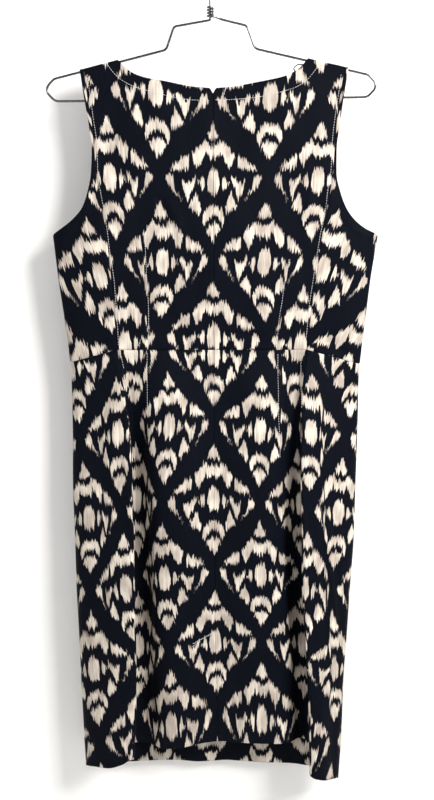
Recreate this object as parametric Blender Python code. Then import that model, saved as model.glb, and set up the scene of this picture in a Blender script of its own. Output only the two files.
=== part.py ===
"""Sleeveless sheath dress on a chrome wire hanger, seen from its back.

Metres, +Z up, +X to the viewer's right, -Y towards the viewer. The origin is the point inside the
hook where a peg or rail carries the hanger. The dress's back faces -Y and its front faces +Y.
Left and right are the viewer's.
"""
import bisect
import functools
import math

import bmesh
import bpy
import numpy as np

# ---- driving dimensions -------------------------------------------------------------------------
CLOTH = 0.0012             # wall of every cloth piece
GAP = 0.0003               # between neighbouring pieces
WIRE = 0.00155             # radius of the hanger's wire

HOOK_INNER_RADIUS = 0.019
HOOK_TIP_ANGLE = 205       # degrees, anticlockwise from +X, where the open end stops
HOOK_LEAVE_ANGLE = -50     # where the round part turns into the shank
STEM_PULL = 0.011          # how strongly the stem's curve follows its two ends
SHANK_TOP = -0.060
SHANK_END = -0.1005
COIL_TOP = -0.087
COIL_TURNS = 3.5
COIL_PITCH = 0.0040
COIL_RADIUS = 2 * WIRE + GAP   # of its wire's centre line about the shank
RIGHT_ARM_START = -0.0998  # where the coil's wire leaves the shank as the right arm
HANGER_TILT = 0.75         # degrees, right end up, turned about the foot of the shank

# Half of the hanger's outline: where, how far out from the shank, height, rounding radius
HANGER_HALF = (
    ("elbow", 0.0475, -0.1110, 0.006),
    ("notch", 0.0580, -0.1400, 0.008),
    ("end_top", 0.2060, -0.1752, 0.010),
    ("end_tip", 0.2190, -0.1890, 0.010),
    ("end_low", 0.2050, -0.2036, 0.012),
    ("bar", 0.1520, -0.2042, 0.0),
)

# Bodice seams, across: height, princess seam left, centre, princess seam right
BODICE_SEAMS = (
    (-0.160, -0.1665, 0.0035, 0.1765),
    (-0.205, -0.1602, 0.0035, 0.1690),
    (-0.240, -0.1545, 0.0035, 0.1650),
    (-0.290, -0.1505, 0.0038, 0.1615),
    (-0.335, -0.1445, 0.0040, 0.1560),
    (-0.380, -0.1370, 0.0040, 0.1475),
    (-0.440, -0.1310, 0.0040, 0.1395),
    (-0.490, -0.1275, 0.0043, 0.1335),
    (-0.535, -0.1245, 0.0045, 0.1290),
    (-0.560, -0.1225, 0.0045, 0.1270),
)
# Armholes: height, left edge, right edge
ARMHOLES = (
    (-0.160, -0.1715, 0.1815),
    (-0.205, -0.1645, 0.1740),
    (-0.240, -0.1585, 0.1690),
    (-0.270, -0.1552, 0.1655),
    (-0.300, -0.1565, 0.1655),
    (-0.325, -0.1615, 0.1710),
    (-0.345, -0.1690, 0.1790),
    (-0.360, -0.1820, 0.1900),
    (-0.371, -0.1965, 0.2040),
    (-0.380, -0.2100, 0.2210),
)
UNDERARM = -0.380
# Side seams: height, left, right
SIDES = (
    (-0.380, -0.2100, 0.2210),
    (-0.440, -0.2035, 0.2145),
    (-0.490, -0.1968, 0.2090),
    (-0.535, -0.1915, 0.2040),
    (-0.570, -0.1885, 0.2010),
    (-0.640, -0.1880, 0.2005),
    (-0.720, -0.1890, 0.1990),
    (-0.790, -0.1875, 0.1980),
    (-0.860, -0.1865, 0.1940),
    (-0.930, -0.1840, 0.1905),
    (-1.000, -0.1820, 0.1865),
    (-1.070, -0.1795, 0.1850),
    (-1.145, -0.1765, 0.1815),
)
# Neckline: distance from the centre line, height
NECKLINE = (
    (0.0000, -0.1905),
    (0.0250, -0.1885),
    (0.0570, -0.1828),
    (0.0850, -0.1778),
    (0.1010, -0.1720),
    (0.1130, -0.1640),
    (0.1245, -0.1515),
)
NECK_LEVEL = -0.190        # height at which the neckline's centre is measured
STRAP_LEVEL = -0.165       # height at which the straps' ends are measured
FRONT_NECK_DROP = 0.010    # how much lower the front's neckline is at the centre
WAIST = -0.532             # waist seam at the centre
WAIST_SLOPE = 0.27         # the waist seam's drop outside the princess seams

# How far the back and the front stand off the hanger's plane: height, back, front
DEPTH = (
    (-0.150, 0.0070, 0.0070),
    (-0.200, 0.0105, 0.0120),
    (-0.260, 0.0160, 0.0200),
    (-0.320, 0.0210, 0.0300),
    (-0.380, 0.0240, 0.0360),
    (-0.440, 0.0240, 0.0340),
    (-0.490, 0.0220, 0.0270),
    (-0.535, 0.0200, 0.0220),
    (-0.600, 0.0240, 0.0255),
    (-0.680, 0.0270, 0.0280),
    (-0.765, 0.0290, 0.0290),
    (-0.850, 0.0310, 0.0300),
    (-0.935, 0.0320, 0.0300),
    (-1.020, 0.0330, 0.0300),
    (-1.145, 0.0340, 0.0300),
)
ROUNDNESS = 2.6            # power of the rounded oval that every level section starts from
SHOULDER_RUN = 0.045       # how far below the shoulder the strap opens to its full depth
STRAP_CAP = WIRE + 1.7 * GAP + CLOTH   # radius of the strap's turn over the wire
CAP_STRETCH = 1.03         # how much higher than round that turn is

# Back skirt's two deep folds, across: height, fold, foot and ridge on the left, centre,
# ridge, foot and fold on the right
SKIRT_FOLDS = (
    (-0.530, -0.1245, -0.1180, -0.0850, 0.0045, 0.0950, 0.1220, 0.1290),
    (-0.600, -0.1130, -0.1065, -0.0840, 0.0045, 0.0970, 0.1160, 0.1215),
    (-0.680, -0.1080, -0.1020, -0.0790, 0.0045, 0.0960, 0.1130, 0.1225),
    (-0.765, -0.1070, -0.1010, -0.0765, 0.0050, 0.0960, 0.1125, 0.1255),
    (-0.850, -0.1065, -0.1010, -0.0765, 0.0055, 0.1020, 0.1170, 0.1265),
    (-0.935, -0.1055, -0.1000, -0.0735, 0.0065, 0.1070, 0.1230, 0.1315),
    (-1.020, -0.1060, -0.1000, -0.0710, 0.0090, 0.1120, 0.1290, 0.1365),
    (-1.110, -0.1100, -0.1030, -0.0715, 0.0105, 0.1160, 0.1330, 0.1395),
)
# How much those lines stand out from the rounded oval: height, side, fold, foot, ridge, centre
SKIRT_RELIEF = (
    (-0.530, 0.0000, 0.0000, 0.0000, 0.0000, 0.0000),
    (-0.600, 0.0010, 0.0045, -0.0020, 0.0010, 0.0020),
    (-0.680, 0.0030, 0.0080, -0.0070, -0.0010, 0.0020),
    (-0.765, 0.0050, 0.0110, -0.0130, -0.0045, -0.0010),
    (-0.850, 0.0065, 0.0130, -0.0190, -0.0100, -0.0060),
    (-0.935, 0.0080, 0.0140, -0.0250, -0.0160, -0.0120),
    (-1.020, 0.0090, 0.0150, -0.0310, -0.0220, -0.0190),
    (-1.110, 0.0100, 0.0160, -0.0350, -0.0275, -0.0250),
)
# Front skirt's soft waves: where between left and right, how far out at the hem
FRONT_WAVES = ((0.16, 0.0), (0.30, 0.003), (0.44, -0.002), (0.56, 0.003), (0.70, -0.001), (0.84, 0.0))
# Hem heights along the back, named as the section's lines, and along the front
BACK_HEM = {
    "side_left": -1.125, "mid_left": -1.114, "fold_left": -1.096, "foot_left": -1.096,
    "ridge_left": -1.096, "centre": -1.086, "ridge_right": -1.087, "foot_right": -1.093,
    "fold_right": -1.114, "mid_right": -1.129, "side_right": -1.141,
}
FRONT_HEM = -1.133

ZIP_HALF_WIDTH = 0.012
ZIP_TOP = -0.200
ZIP_END = -0.690
VENT_TOP = -0.930
VENT_LAP = 0.034           # how far the right half runs on under the left one
VENT_STEM = 0.008
TURN_UP = 0.040            # height of the front's turned-up hem
LOOP_WIDTH = 0.0028        # hanging loop's ribbon
LOOP_THICK = 0.0010

NAVY = (0.012, 0.014, 0.026, 1)
TAPE = (0.010, 0.010, 0.014, 1)
CHROME = (0.62, 0.62, 0.63, 1)


# ---- curves and forms ---------------------------------------------------------------------------
@functools.lru_cache(maxsize=None)
def prepared(rows, column):
    """A table's places, values and slopes for smooth, worked out once."""
    order = sorted(rows, key=lambda row: row[0])
    xs = [row[0] for row in order]
    ys = [row[column] for row in order]
    slopes = [(ys[i + 1] - ys[i]) / (xs[i + 1] - xs[i]) for i in range(len(xs) - 1)]
    tangents = [slopes[0]]
    for before, after in zip(slopes, slopes[1:]):
        tangents.append(2 * before * after / (before + after) if before * after > 0 else 0.0)
    tangents.append(slopes[-1])
    return xs, ys, tangents


def smooth(rows, column, at):
    """Value of one column of a table at a height or distance, without overshoot between its rows."""
    xs, ys, tangents = prepared(rows, column)
    at = min(max(at, xs[0]), xs[-1])
    i = min(bisect.bisect_right(xs, at) - 1, len(xs) - 2)
    step = xs[i + 1] - xs[i]
    u = (at - xs[i]) / step
    return (ys[i] * (1 + 2 * u) * (1 - u) ** 2 + ys[i + 1] * u * u * (3 - 2 * u)
            + step * (tangents[i] * u * (1 - u) ** 2 - tangents[i + 1] * u * u * (1 - u)))


def ease(u):
    u = min(max(u, 0.0), 1.0)
    return u * u * (3 - 2 * u)


def centre_x(z):
    return smooth(BODICE_SEAMS, 2, z)


def outer_edge(z, side):
    """Armhole or side seam at a height. side is -1 for left and 1 for right."""
    column = 1 if side < 0 else 2
    return smooth(SIDES if z <= UNDERARM else ARMHOLES, column, z)


def princess_x(z, side):
    return smooth(BODICE_SEAMS, 1 if side < 0 else 3, z)


def tilted(x, z):
    """A point of the level hanger, where it hangs slightly turned."""
    turn = math.radians(HANGER_TILT)
    down = z - SHANK_END
    return (x * math.cos(turn) - down * math.sin(turn),
            SHANK_END + x * math.sin(turn) + down * math.cos(turn))


def arm_height(x):
    """Centre of the sloping arm's wire at x, carried on towards the neck."""
    side = -1 if x < 0 else 1
    (x0, z0), (x1, z1) = (tilted(side * out, z) for name, out, z, _ in HANGER_HALF
                          if name in ("notch", "end_top"))
    return z0 + (x - x0) * (z1 - z0) / (x1 - x0)


def shoulder_height(x):
    """Top of the strap, which lies over the wire."""
    return arm_height(x) + STRAP_CAP * CAP_STRETCH


def waist_height(x, front=False):
    """Waist seam: level between the back's princess seams, and a shallow bow across the front."""
    if not front:
        beyond = max(x - princess_x(WAIST, 1), princess_x(WAIST, -1) - x, 0.0)
        return WAIST - WAIST_SLOPE * beyond
    middle = centre_x(WAIST)
    edge = outer_edge(WAIST, -1 if x < middle else 1)
    return WAIST + (waist_height(edge) - WAIST) * ((x - middle) / (edge - middle)) ** 2


def neck_height(x, front=False):
    middle = centre_x(NECK_LEVEL)
    away = abs(x - middle)
    reach, strap_top = NECKLINE[-1]
    meets = shoulder_height(middle + math.copysign(reach, x - middle)) - strap_top
    height = smooth(NECKLINE, 1, away) + meets * (away / reach) ** 6
    if front:
        height -= FRONT_NECK_DROP * (1 - ease(away / NECKLINE[-1][0]))
    return height


def oval(x, z, front=False):
    """How far the rounded form stands off the hanger's plane."""
    middle = centre_x(z)
    side = -1 if x < middle else 1
    half = smooth(SIDES, 1 if side < 0 else 2, min(z, UNDERARM)) - middle
    across = min(abs((x - middle) / half), 1.0)
    return smooth(DEPTH, 2 if front else 1, z) * (1 - across ** ROUNDNESS) ** (1 / ROUNDNESS)


def bodice_depth(x, z, front=False):
    """As oval, closing over the hanger's wire along the shoulder."""
    below = max(shoulder_height(x) - z, 0.0)
    closing = STRAP_CAP * math.sqrt(1 - (1 - min(below, STRAP_CAP) / STRAP_CAP) ** 2)
    return closing + (oval(x, z, front) - STRAP_CAP) * ease(below / SHOULDER_RUN)


def bodice_point(x, z, front=False):
    """Point on the bodice's outer face and the way out of it there."""
    sign = 1 if front else -1
    step = 0.0004
    if z >= shoulder_height(x) - 1e-6:
        return np.array((x, sign * GAP / 2, z)), np.array((0.0, 0.0, 1.0))
    middle = centre_x(z)
    edge = outer_edge(z, -1 if x < middle else 1)
    if z <= UNDERARM and abs(x - edge) < 1e-5:
        return np.array((x, sign * GAP / 2, z)), np.array((math.copysign(1.0, x - middle), 0.0, 0.0))
    depth = bodice_depth(x, z, front)
    across = (bodice_depth(x + step, z, front) - bodice_depth(x - step, z, front)) / (2 * step)
    down = (bodice_depth(x, z + step, front) - bodice_depth(x, z - step, front)) / (2 * step)
    way = np.array((-across, sign, -down))
    return np.array((x, sign * max(depth, GAP / 2), z)), way / np.linalg.norm(way)


def line_between(edges, count):
    return [edges[0] + (edges[1] - edges[0]) * i / (count - 1) for i in range(count)]


# ---- the skirt's level section ------------------------------------------------------------------
# Lines that every section of the back skirt passes through, left side to right side
BACK_LINES = (
    "side_left", "rim_left", "turn_left", "shelf_left", "mid_left", "near_left", "fold_left",
    "wall_left", "foot_left", "ridge_left", "centre", "ridge_right", "foot_right", "wall_right",
    "fold_right", "near_right", "mid_right", "shelf_right", "turn_right", "rim_right", "side_right",
)
# Lines followed by a further column of points halfway to the next line
HALVED_AFTER = ("shelf_left", "mid_left", "foot_left", "ridge_left", "centre", "ridge_right",
                "near_right", "mid_right")
RIM = {"rim": 0.0010, "turn": 0.0040, "shelf": 0.0140}   # how far inside the side seam these lie
NEAR_FOLD = 0.012
SKIRT_ROWS = 13
FOLD_CLEAR = 0.0004        # each panel's set-back at the seams that run along the folds
WALL_LEAN = 0.0010          # how far a deep fold's wall leans back under the fold


def back_key(name, z):
    """Plan point (x, y) of one named line of the back skirt at a height."""
    place, _, hand = name.partition("_")
    side = -1 if hand == "left" else 1
    edge = outer_edge(z, side)
    z_table = min(z, SKIRT_FOLDS[0][0])
    if place == "centre":
        x = smooth(SKIRT_FOLDS, 4, z_table)
        return x, -oval(x, z) - smooth(SKIRT_RELIEF, 5, z_table)
    column = {"fold": 1, "foot": 2, "ridge": 3} if side < 0 else {"ridge": 5, "foot": 6, "fold": 7}
    fold = smooth(SKIRT_FOLDS, column["fold"], z_table)
    fold_out = smooth(SKIRT_RELIEF, 2, z_table)
    if place == "side":
        return edge, 0.0
    if place in RIM:
        x = edge - side * RIM[place]
        share = {"rim": 0.0, "turn": 0.1, "shelf": 0.4}[place]
        return x, -oval(x, z) - share * smooth(SKIRT_RELIEF, 1, z_table)
    if place == "mid":
        x = (edge + fold) / 2
        return x, -oval(x, z) - smooth(SKIRT_RELIEF, 1, z_table)
    if place == "near":
        x = fold + side * NEAR_FOLD
        return x, -oval(x, z) - 0.93 * fold_out
    if place == "wall":
        (fold_x, fold_y), (foot_x, foot_y) = back_key("fold_" + hand, z), back_key("foot_" + hand, z)
        return (fold_x + foot_x) / 2 + side * WALL_LEAN * ease((WAIST - z) / 0.2), (fold_y + foot_y) / 2
    x = smooth(SKIRT_FOLDS, column[place], z_table)
    relief = {"fold": 2, "foot": 3, "ridge": 4}[place]
    return x, -oval(x, z) - smooth(SKIRT_RELIEF, relief, z_table)


# Where the front's columns of points stand, as shares of the way from left to right
FRONT_SHARES = (0.0, 0.0025, 0.010, 0.036, 0.09, 0.16, 0.23, 0.30, 0.37, 0.44, 0.50, 0.56, 0.63, 0.70,
                0.77, 0.84, 0.91, 0.964, 0.990, 0.9975, 1.0)


def front_key(share, z):
    """Plan point of the front skirt, share 0 at the left side seam and 1 at the right."""
    left, right = outer_edge(z, -1), outer_edge(z, 1)
    x = left + (right - left) * share
    reach = ease((WAIST - z) / (WAIST - FRONT_HEM))
    return x, oval(x, z, True) + reach * smooth(FRONT_WAVES, 1, share)


def through(key, last, s):
    """Point of the smooth curve through key(0) to key(last), s counted in keys."""
    i = min(max(int(math.floor(s)), 0), last - 1)
    u = s - i
    p1, p2 = key(i), key(i + 1)
    span = math.dist(p1, p2)
    tangents = []
    for k in (i, i + 1):
        if 0 < k < last:
            before, here, after = key(k - 1), key(k), key(k + 1)
            la, lb = max(math.dist(before, here), 1e-9), max(math.dist(here, after), 1e-9)
            tangents.append([((h - b) / la * lb + (a - h) / lb * la) / (la + lb)
                             for b, h, a in zip(before, here, after)])
        else:
            tangents.append([(b - a) / max(span, 1e-9) for a, b in zip(p1, p2)])
    return tuple(a * (1 + 2 * u) * (1 - u) ** 2 + b * u * u * (3 - 2 * u)
                 + span * (ta * u * (1 - u) ** 2 - tb * u * u * (1 - u))
                 for a, b, ta, tb in zip(p1, p2, *tangents))


def skirt_plan(s, z, front):
    if front:
        return through(lambda i: front_key(FRONT_SHARES[i], z), len(FRONT_SHARES) - 1, s)
    return through(lambda i: back_key(BACK_LINES[i], z), len(BACK_LINES) - 1, s)


def skirt_point(s, z, front=False):
    """Point on the skirt's outer face and the way out of it there."""
    last = (len(FRONT_SHARES) if front else len(BACK_LINES)) - 1
    x, y = skirt_plan(s, z, front)
    sign = 1 if front else -1
    if s <= 0 or s >= last:
        return np.array((x, sign * GAP / 2, z)), np.array((-1.0 if s <= 0 else 1.0, 0.0, 0.0))
    step = 0.02
    ahead, behind = skirt_plan(min(s + step, last), z, front), skirt_plan(max(s - step, 0), z, front)
    above, under = skirt_plan(s, z + 0.004, front), skirt_plan(s, z - 0.004, front)
    along = (ahead[0] - behind[0], ahead[1] - behind[1], 0.0)
    upward = (above[0] - under[0], above[1] - under[1], 0.008)
    way = np.cross(along, upward) * -sign
    return np.array((x, y, z)), way / np.linalg.norm(way)


def hem_height(s, front=False):
    """Hem of the back from its named heights, or of the front."""
    if front:
        share = float(np.interp(s, range(len(FRONT_SHARES)), FRONT_SHARES))
        ends = BACK_HEM["side_left"] + (BACK_HEM["side_right"] - BACK_HEM["side_left"]) * share
        return ends + (FRONT_HEM - ends) * math.sin(math.pi * share) ** 0.6
    named = tuple((BACK_LINES.index(name), height) for name, height in BACK_HEM.items())
    return smooth(named, 1, s)


def skirt_top(s, front=False):
    return waist_height(skirt_plan(s, WAIST, front)[0], front) - GAP / 2


# ---- making solids ------------------------------------------------------------------------------
def material(name, color, roughness, metallic=0.0):
    found = bpy.data.materials.new(name)
    found.use_nodes = True
    shader = found.node_tree.nodes["Principled BSDF"]
    shader.inputs["Base Color"].default_value = color
    shader.inputs["Roughness"].default_value = roughness
    shader.inputs["Metallic"].default_value = metallic
    return found


def add_object(name, mesh, color, roughness, metallic=0.0):
    piece = bpy.data.objects.new(name, mesh)
    bpy.context.collection.objects.link(piece)
    mesh.materials.append(material(name + "_finish", color, roughness, metallic))
    return piece


def wall(name, grid, outside=0.0, thickness=CLOTH, color=NAVY):
    """Closed cloth wall from rows of (point, way out), starting a distance inside the outer face."""
    rows, columns = len(grid), len(grid[0])
    outer = [[point - way * outside for point, way in row] for row in grid]
    inner = [[point - way * (outside + thickness) for point, way in row] for row in grid]
    mesh = bpy.data.meshes.new(name)
    shell = bmesh.new()
    faces = [[[shell.verts.new(p) for p in row] for row in side] for side in (outer, inner)]
    for side in (0, 1):
        for i in range(rows - 1):
            for j in range(columns - 1):
                v = faces[side]
                quad = [v[i][j], v[i][j + 1], v[i + 1][j + 1], v[i + 1][j]]
                shell.faces.new(quad if side == 0 else quad[::-1])
    rim = [(0, j) for j in range(columns)] + [(i, columns - 1) for i in range(1, rows)]
    rim += [(rows - 1, j) for j in range(columns - 2, -1, -1)] + [(i, 0) for i in range(rows - 2, 0, -1)]
    for (a, b), (c, d) in zip(rim, rim[1:] + rim[:1]):
        shell.faces.new((faces[0][c][d], faces[0][a][b], faces[1][a][b], faces[1][c][d]))
    bmesh.ops.recalc_face_normals(shell, faces=shell.faces)
    shell.to_mesh(mesh)
    shell.free()
    mesh.shade_smooth()
    mesh.set_sharp_from_angle(angle=math.radians(50))
    return add_object(name, mesh, color, 0.85)


def tube(name, path, radius=WIRE, resolution=2):
    """Round wire along a path of (x, y, z) with flat ends."""
    curve = bpy.data.curves.new(name, "CURVE")
    curve.dimensions = "3D"
    curve.bevel_depth = radius
    curve.bevel_resolution = resolution
    curve.use_fill_caps = True
    spline = curve.splines.new("POLY")
    spline.points.add(len(path) - 1)
    for point, place in zip(spline.points, path):
        point.co = (*place, 1)
    return add_object(name, curve, CHROME, 0.18, 1.0)


def rounded_path(corners, steps=5):
    """Plan points through (x, z, radius) corners, each corner turned as a smooth bend."""
    points = [corners[0][:2]]
    for before, here, after in zip(corners, corners[1:], corners[2:]):
        a, b, c = (np.array(p[:2]) for p in (before, here, after))
        reach = min(here[2], 0.45 * np.linalg.norm(a - b), 0.45 * np.linalg.norm(c - b))
        start = b + (a - b) / np.linalg.norm(a - b) * reach
        end = b + (c - b) / np.linalg.norm(c - b) * reach
        for i in range(steps + 1):
            u = i / steps
            points.append(tuple(start * (1 - u) ** 2 + b * 2 * u * (1 - u) + end * u * u))
    points.append(corners[-1][:2])
    return points


# ---- the pieces ---------------------------------------------------------------------------------
# Rows of a bodice piece from waist to shoulder, closer where the strap turns over the wire
BODICE_ROWS = (0.0, 0.10, 0.20, 0.30, 0.38, 0.445, 0.472, 0.505, 0.55, 0.61, 0.68, 0.75, 0.82, 0.88, 0.93,
               0.965, 0.985, 0.9918, 0.9962, 0.9988, 1.0)


def top_edge(x_shoulder, x_neck, x_middle, share_of_strap, share, front=False):
    """Point along the shoulder and then the neckline, share 0 at the shoulder's end."""
    if share <= share_of_strap:
        x = x_shoulder + (x_neck - x_shoulder) * share / share_of_strap
        return x, shoulder_height(x)
    x = x_neck + (x_middle - x_neck) * (share - share_of_strap) / (1 - share_of_strap)
    return x, neck_height(x, front)


def blended(left, right, bottom, top, s, v):
    """Point inside four edges, each a function giving (x, z)."""
    across = (1 - s) * np.array(left(v)) + s * np.array(right(v))
    along = (1 - v) * np.array(bottom(s)) + v * np.array(top(s))
    corners = ((1 - s) * (1 - v) * np.array(bottom(0)) + s * (1 - v) * np.array(bottom(1))
               + (1 - s) * v * np.array(top(0)) + s * v * np.array(top(1)))
    return across + along - corners


def strap_inner(side):
    """Where the neckline meets the shoulder."""
    return centre_x(NECK_LEVEL) + side * NECKLINE[-1][0]


def centre_back_bodice(side):
    """Back panel between the centre seam and the princess seam."""
    clear = GAP / 2
    strap_share = 0.3

    def seam(v):
        x_end = princess_x(STRAP_LEVEL, side)
        z = (1 - v) * waist_height(princess_x(WAIST, side)) + v * shoulder_height(x_end)
        return princess_x(z, side) - side * clear, z

    def middle(v):
        z = (1 - v) * waist_height(centre_x(WAIST)) + v * neck_height(centre_x(NECK_LEVEL))
        return centre_x(z) + side * clear, z

    def bottom(s):
        x = (1 - s) * seam(0)[0] + s * middle(0)[0]
        return x, waist_height(x)

    def top(s):
        return top_edge(seam(1)[0], strap_inner(side), middle(1)[0], strap_share, s)

    columns = (0, 0.10, 0.20, 0.3, 0.3025, 0.3075, 0.316, 0.36, 0.45, 0.57, 0.71, 0.85, 1.0)
    grid = []
    for v in BODICE_ROWS:
        row = []
        for s in columns:
            x, z = blended(seam, middle, bottom, top, s, v)
            if v == 1.0 and s <= strap_share:
                z = shoulder_height(x)
            row.append(bodice_point(x, z + (GAP / 2 if v == 0 else 0)))
        grid.append(row)
    return wall(f"centre_back_bodice_{'left' if side < 0 else 'right'}", grid)


def side_back_bodice(side):
    """Back panel between the princess seam and the side seam, running up to the shoulder."""
    grid = []
    for v in BODICE_ROWS:
        row = []
        for s in line_between((0.0, 1.0), 6):
            x_low = outer_edge(WAIST, side) * (1 - s) + princess_x(WAIST, side) * s
            x_high = outer_edge(STRAP_LEVEL, side) * (1 - s) + princess_x(STRAP_LEVEL, side) * s
            z = (1 - v) * waist_height(x_low) + v * shoulder_height(x_high)
            x = (1 - s) * outer_edge(z, side) + s * (princess_x(z, side) + side * GAP / 2)
            if v == 1.0:
                z = shoulder_height(x)
            row.append(bodice_point(x, z + (GAP / 2 if v == 0 else 0)))
        grid.append(row)
    return wall(f"side_back_bodice_{'left' if side < 0 else 'right'}", grid)


def front_bodice():
    """The whole front above the waist, plainly cut."""
    strap_share = 0.16

    def edge(side):
        def at(v):
            z = ((1 - v) * waist_height(outer_edge(WAIST, side))
                 + v * shoulder_height(outer_edge(STRAP_LEVEL, side)))
            return outer_edge(z, side), z
        return at

    left, right = edge(-1), edge(1)

    def bottom(s):
        level_x = (1 - s) * outer_edge(WAIST, -1) + s * outer_edge(WAIST, 1)
        return (1 - s) * left(0)[0] + s * right(0)[0], waist_height(level_x, True)

    def top(s):
        middle = centre_x(NECK_LEVEL)
        if s <= 0.5:
            return top_edge(left(1)[0], strap_inner(-1), middle, 2 * strap_share, 2 * s, True)
        return top_edge(right(1)[0], strap_inner(1), middle, 2 * strap_share, 2 - 2 * s, True)

    beside_strap = [strap_share + step for step in (0.001, 0.003, 0.0065)]
    columns = sorted([*FRONT_SHARES, *beside_strap, *(1 - s for s in beside_strap)])
    grid = []
    for v in BODICE_ROWS:
        row = []
        for s in columns:
            x, z = blended(left, right, bottom, top, s, v)
            x = min(max(x, outer_edge(z, -1)), outer_edge(z, 1))
            if v == 1.0 and (s <= strap_share or s >= 1 - strap_share):
                z = shoulder_height(x)
            row.append(bodice_point(x, z + (GAP / 2 if v == 0 else 0), True))
        grid.append(row)
    return wall("front_bodice", grid)


def skirt_grid(places, rows, front=False, clear_first=0.0, clear_last=0.0):
    """Rows of skirt points from waist to hem, set back along the section at either end."""
    grid = []
    for v in line_between((0.0, 1.0), rows):
        row = []
        for s in places:
            z = (1 - v) * skirt_top(s, front) + v * hem_height(s, front)
            row.append(list(skirt_point(s, z, front)))
        for end, clear in ((0, clear_first), (-1, clear_last)):
            inward = row[1][0] - row[0][0] if end == 0 else row[-2][0] - row[-1][0]
            row[end][0] = row[end][0] + inward / np.linalg.norm(inward) * clear
        grid.append(row)
    return grid


def places_between(first, last, extra):
    """Section places of the named lines from first to last, with places between some of them."""
    a, b = BACK_LINES.index(first), BACK_LINES.index(last)
    return sorted([float(i) for i in range(a, b + 1)] + [i + 0.5 for i in range(a, b) if i in extra])


def skirt_backs():
    """The four back panels: a side one and a centre one on each hand, meeting along the folds."""
    extra = {BACK_LINES.index(name) for name in HALVED_AFTER}
    panels = (
        ("side_back_skirt_left", "side_left", "fold_left", 0.0, FOLD_CLEAR),
        ("centre_back_skirt_left", "fold_left", "centre", FOLD_CLEAR, GAP / 2),
        ("centre_back_skirt_right", "centre", "fold_right", GAP / 2, FOLD_CLEAR),
        ("side_back_skirt_right", "fold_right", "side_right", FOLD_CLEAR, 0.0),
    )
    for name, first, last, clear_first, clear_last in panels:
        places = places_between(first, last, extra)
        wall(name, skirt_grid(places, SKIRT_ROWS, clear_first=clear_first, clear_last=clear_last))


def front_skirt():
    places = line_between((0.0, len(FRONT_SHARES) - 1.0), len(FRONT_SHARES))
    wall("front_skirt", skirt_grid(places, SKIRT_ROWS, front=True))


def front_hem_turn_up():
    """The front's hem allowance, folded up inside."""
    grid = []
    for v in line_between((0.0, 1.0), 3):
        row = []
        for s in line_between((3.0, len(FRONT_SHARES) - 4.0), len(FRONT_SHARES) - 6):
            row.append(skirt_point(s, hem_height(s, True) + 0.0006 + TURN_UP * (1 - v), True))
        grid.append(row)
    wall("front_hem_turn_up", grid, outside=CLOTH + GAP)


def centre_place(x, z):
    """Section place beside the centre line that lies at x."""
    centre = BACK_LINES.index("centre")
    middle = skirt_plan(centre, z, False)[0]
    side = -1 if x < middle else 1
    ridge = skirt_plan(centre + side, z, False)[0]
    return centre + side * (x - middle) / (ridge - middle)


def zip_tape():
    """The tape of the closed zip, behind the centre back seam."""
    seam_top = neck_height(centre_x(NECK_LEVEL))
    waist = waist_height(centre_x(WAIST))
    heights = [ZIP_TOP] + [(1 - v) * waist + v * seam_top for v in BODICE_ROWS[::-1]]
    heights = [z for z in heights if z <= ZIP_TOP]
    centre = BACK_LINES.index("centre")
    top, hem = skirt_top(centre), hem_height(centre)
    skirt = [(1 - v) * top + v * hem for v in line_between((0.0, 1.0), SKIRT_ROWS)]
    heights += [z for z in skirt if z >= ZIP_END]
    grid = []
    for z in heights:
        row = []
        for offset in (-ZIP_HALF_WIDTH, 0.0, ZIP_HALF_WIDTH):
            if z >= WAIST:
                row.append(bodice_point(centre_x(z) + offset, z))
            else:
                row.append(skirt_point(centre_place(centre_x(z) + offset, z), z))
        grid.append(row)
    wall("zip_tape", grid, outside=CLOTH + GAP, color=TAPE)


def back_vent_underlap():
    """The right half's extension, which lies under the left half below the vent's stitching."""
    grid = []
    centre = BACK_LINES.index("centre")
    for v in line_between((0.0, 1.0), 7):
        row = []
        for offset in line_between((-VENT_LAP, VENT_STEM), 5):
            end = hem_height(centre) + 0.002
            z = (1 - v) * VENT_TOP + v * end
            middle = skirt_plan(centre, z, False)[0]
            row.append(skirt_point(centre_place(middle + offset, z), z))
        grid.append(row)
    wall("back_vent_underlap", grid, outside=CLOTH + GAP)


def hanging_loop():
    """Narrow ribbon bent back on itself under the right strap, its bend showing beside the neck."""
    corners = ((0.1300, -0.1600, 0.0), (0.1130, -0.1590, 0.004), (0.1055, -0.1660, 0.005),
               (0.1120, -0.1705, 0.004), (0.1300, -0.1700, 0.0))
    path = rounded_path(corners, 4)
    front_face = bodice_depth(corners[0][0], corners[0][1], True) - CLOTH - 3 * GAP
    grid = []
    for i, (x, z) in enumerate(path):
        before, after = path[max(i - 1, 0)], path[min(i + 1, len(path) - 1)]
        along = np.array((after[0] - before[0], 0.0, after[1] - before[1]))
        out = np.cross(along / np.linalg.norm(along), (0.0, 1.0, 0.0))
        row = [(np.array((x, front_face - across, z)), out) for across in (LOOP_WIDTH, 0.0)]
        grid.append(row)
    wall("hanging_loop", grid, outside=-LOOP_THICK / 2, thickness=LOOP_THICK, color=TAPE)


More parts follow.
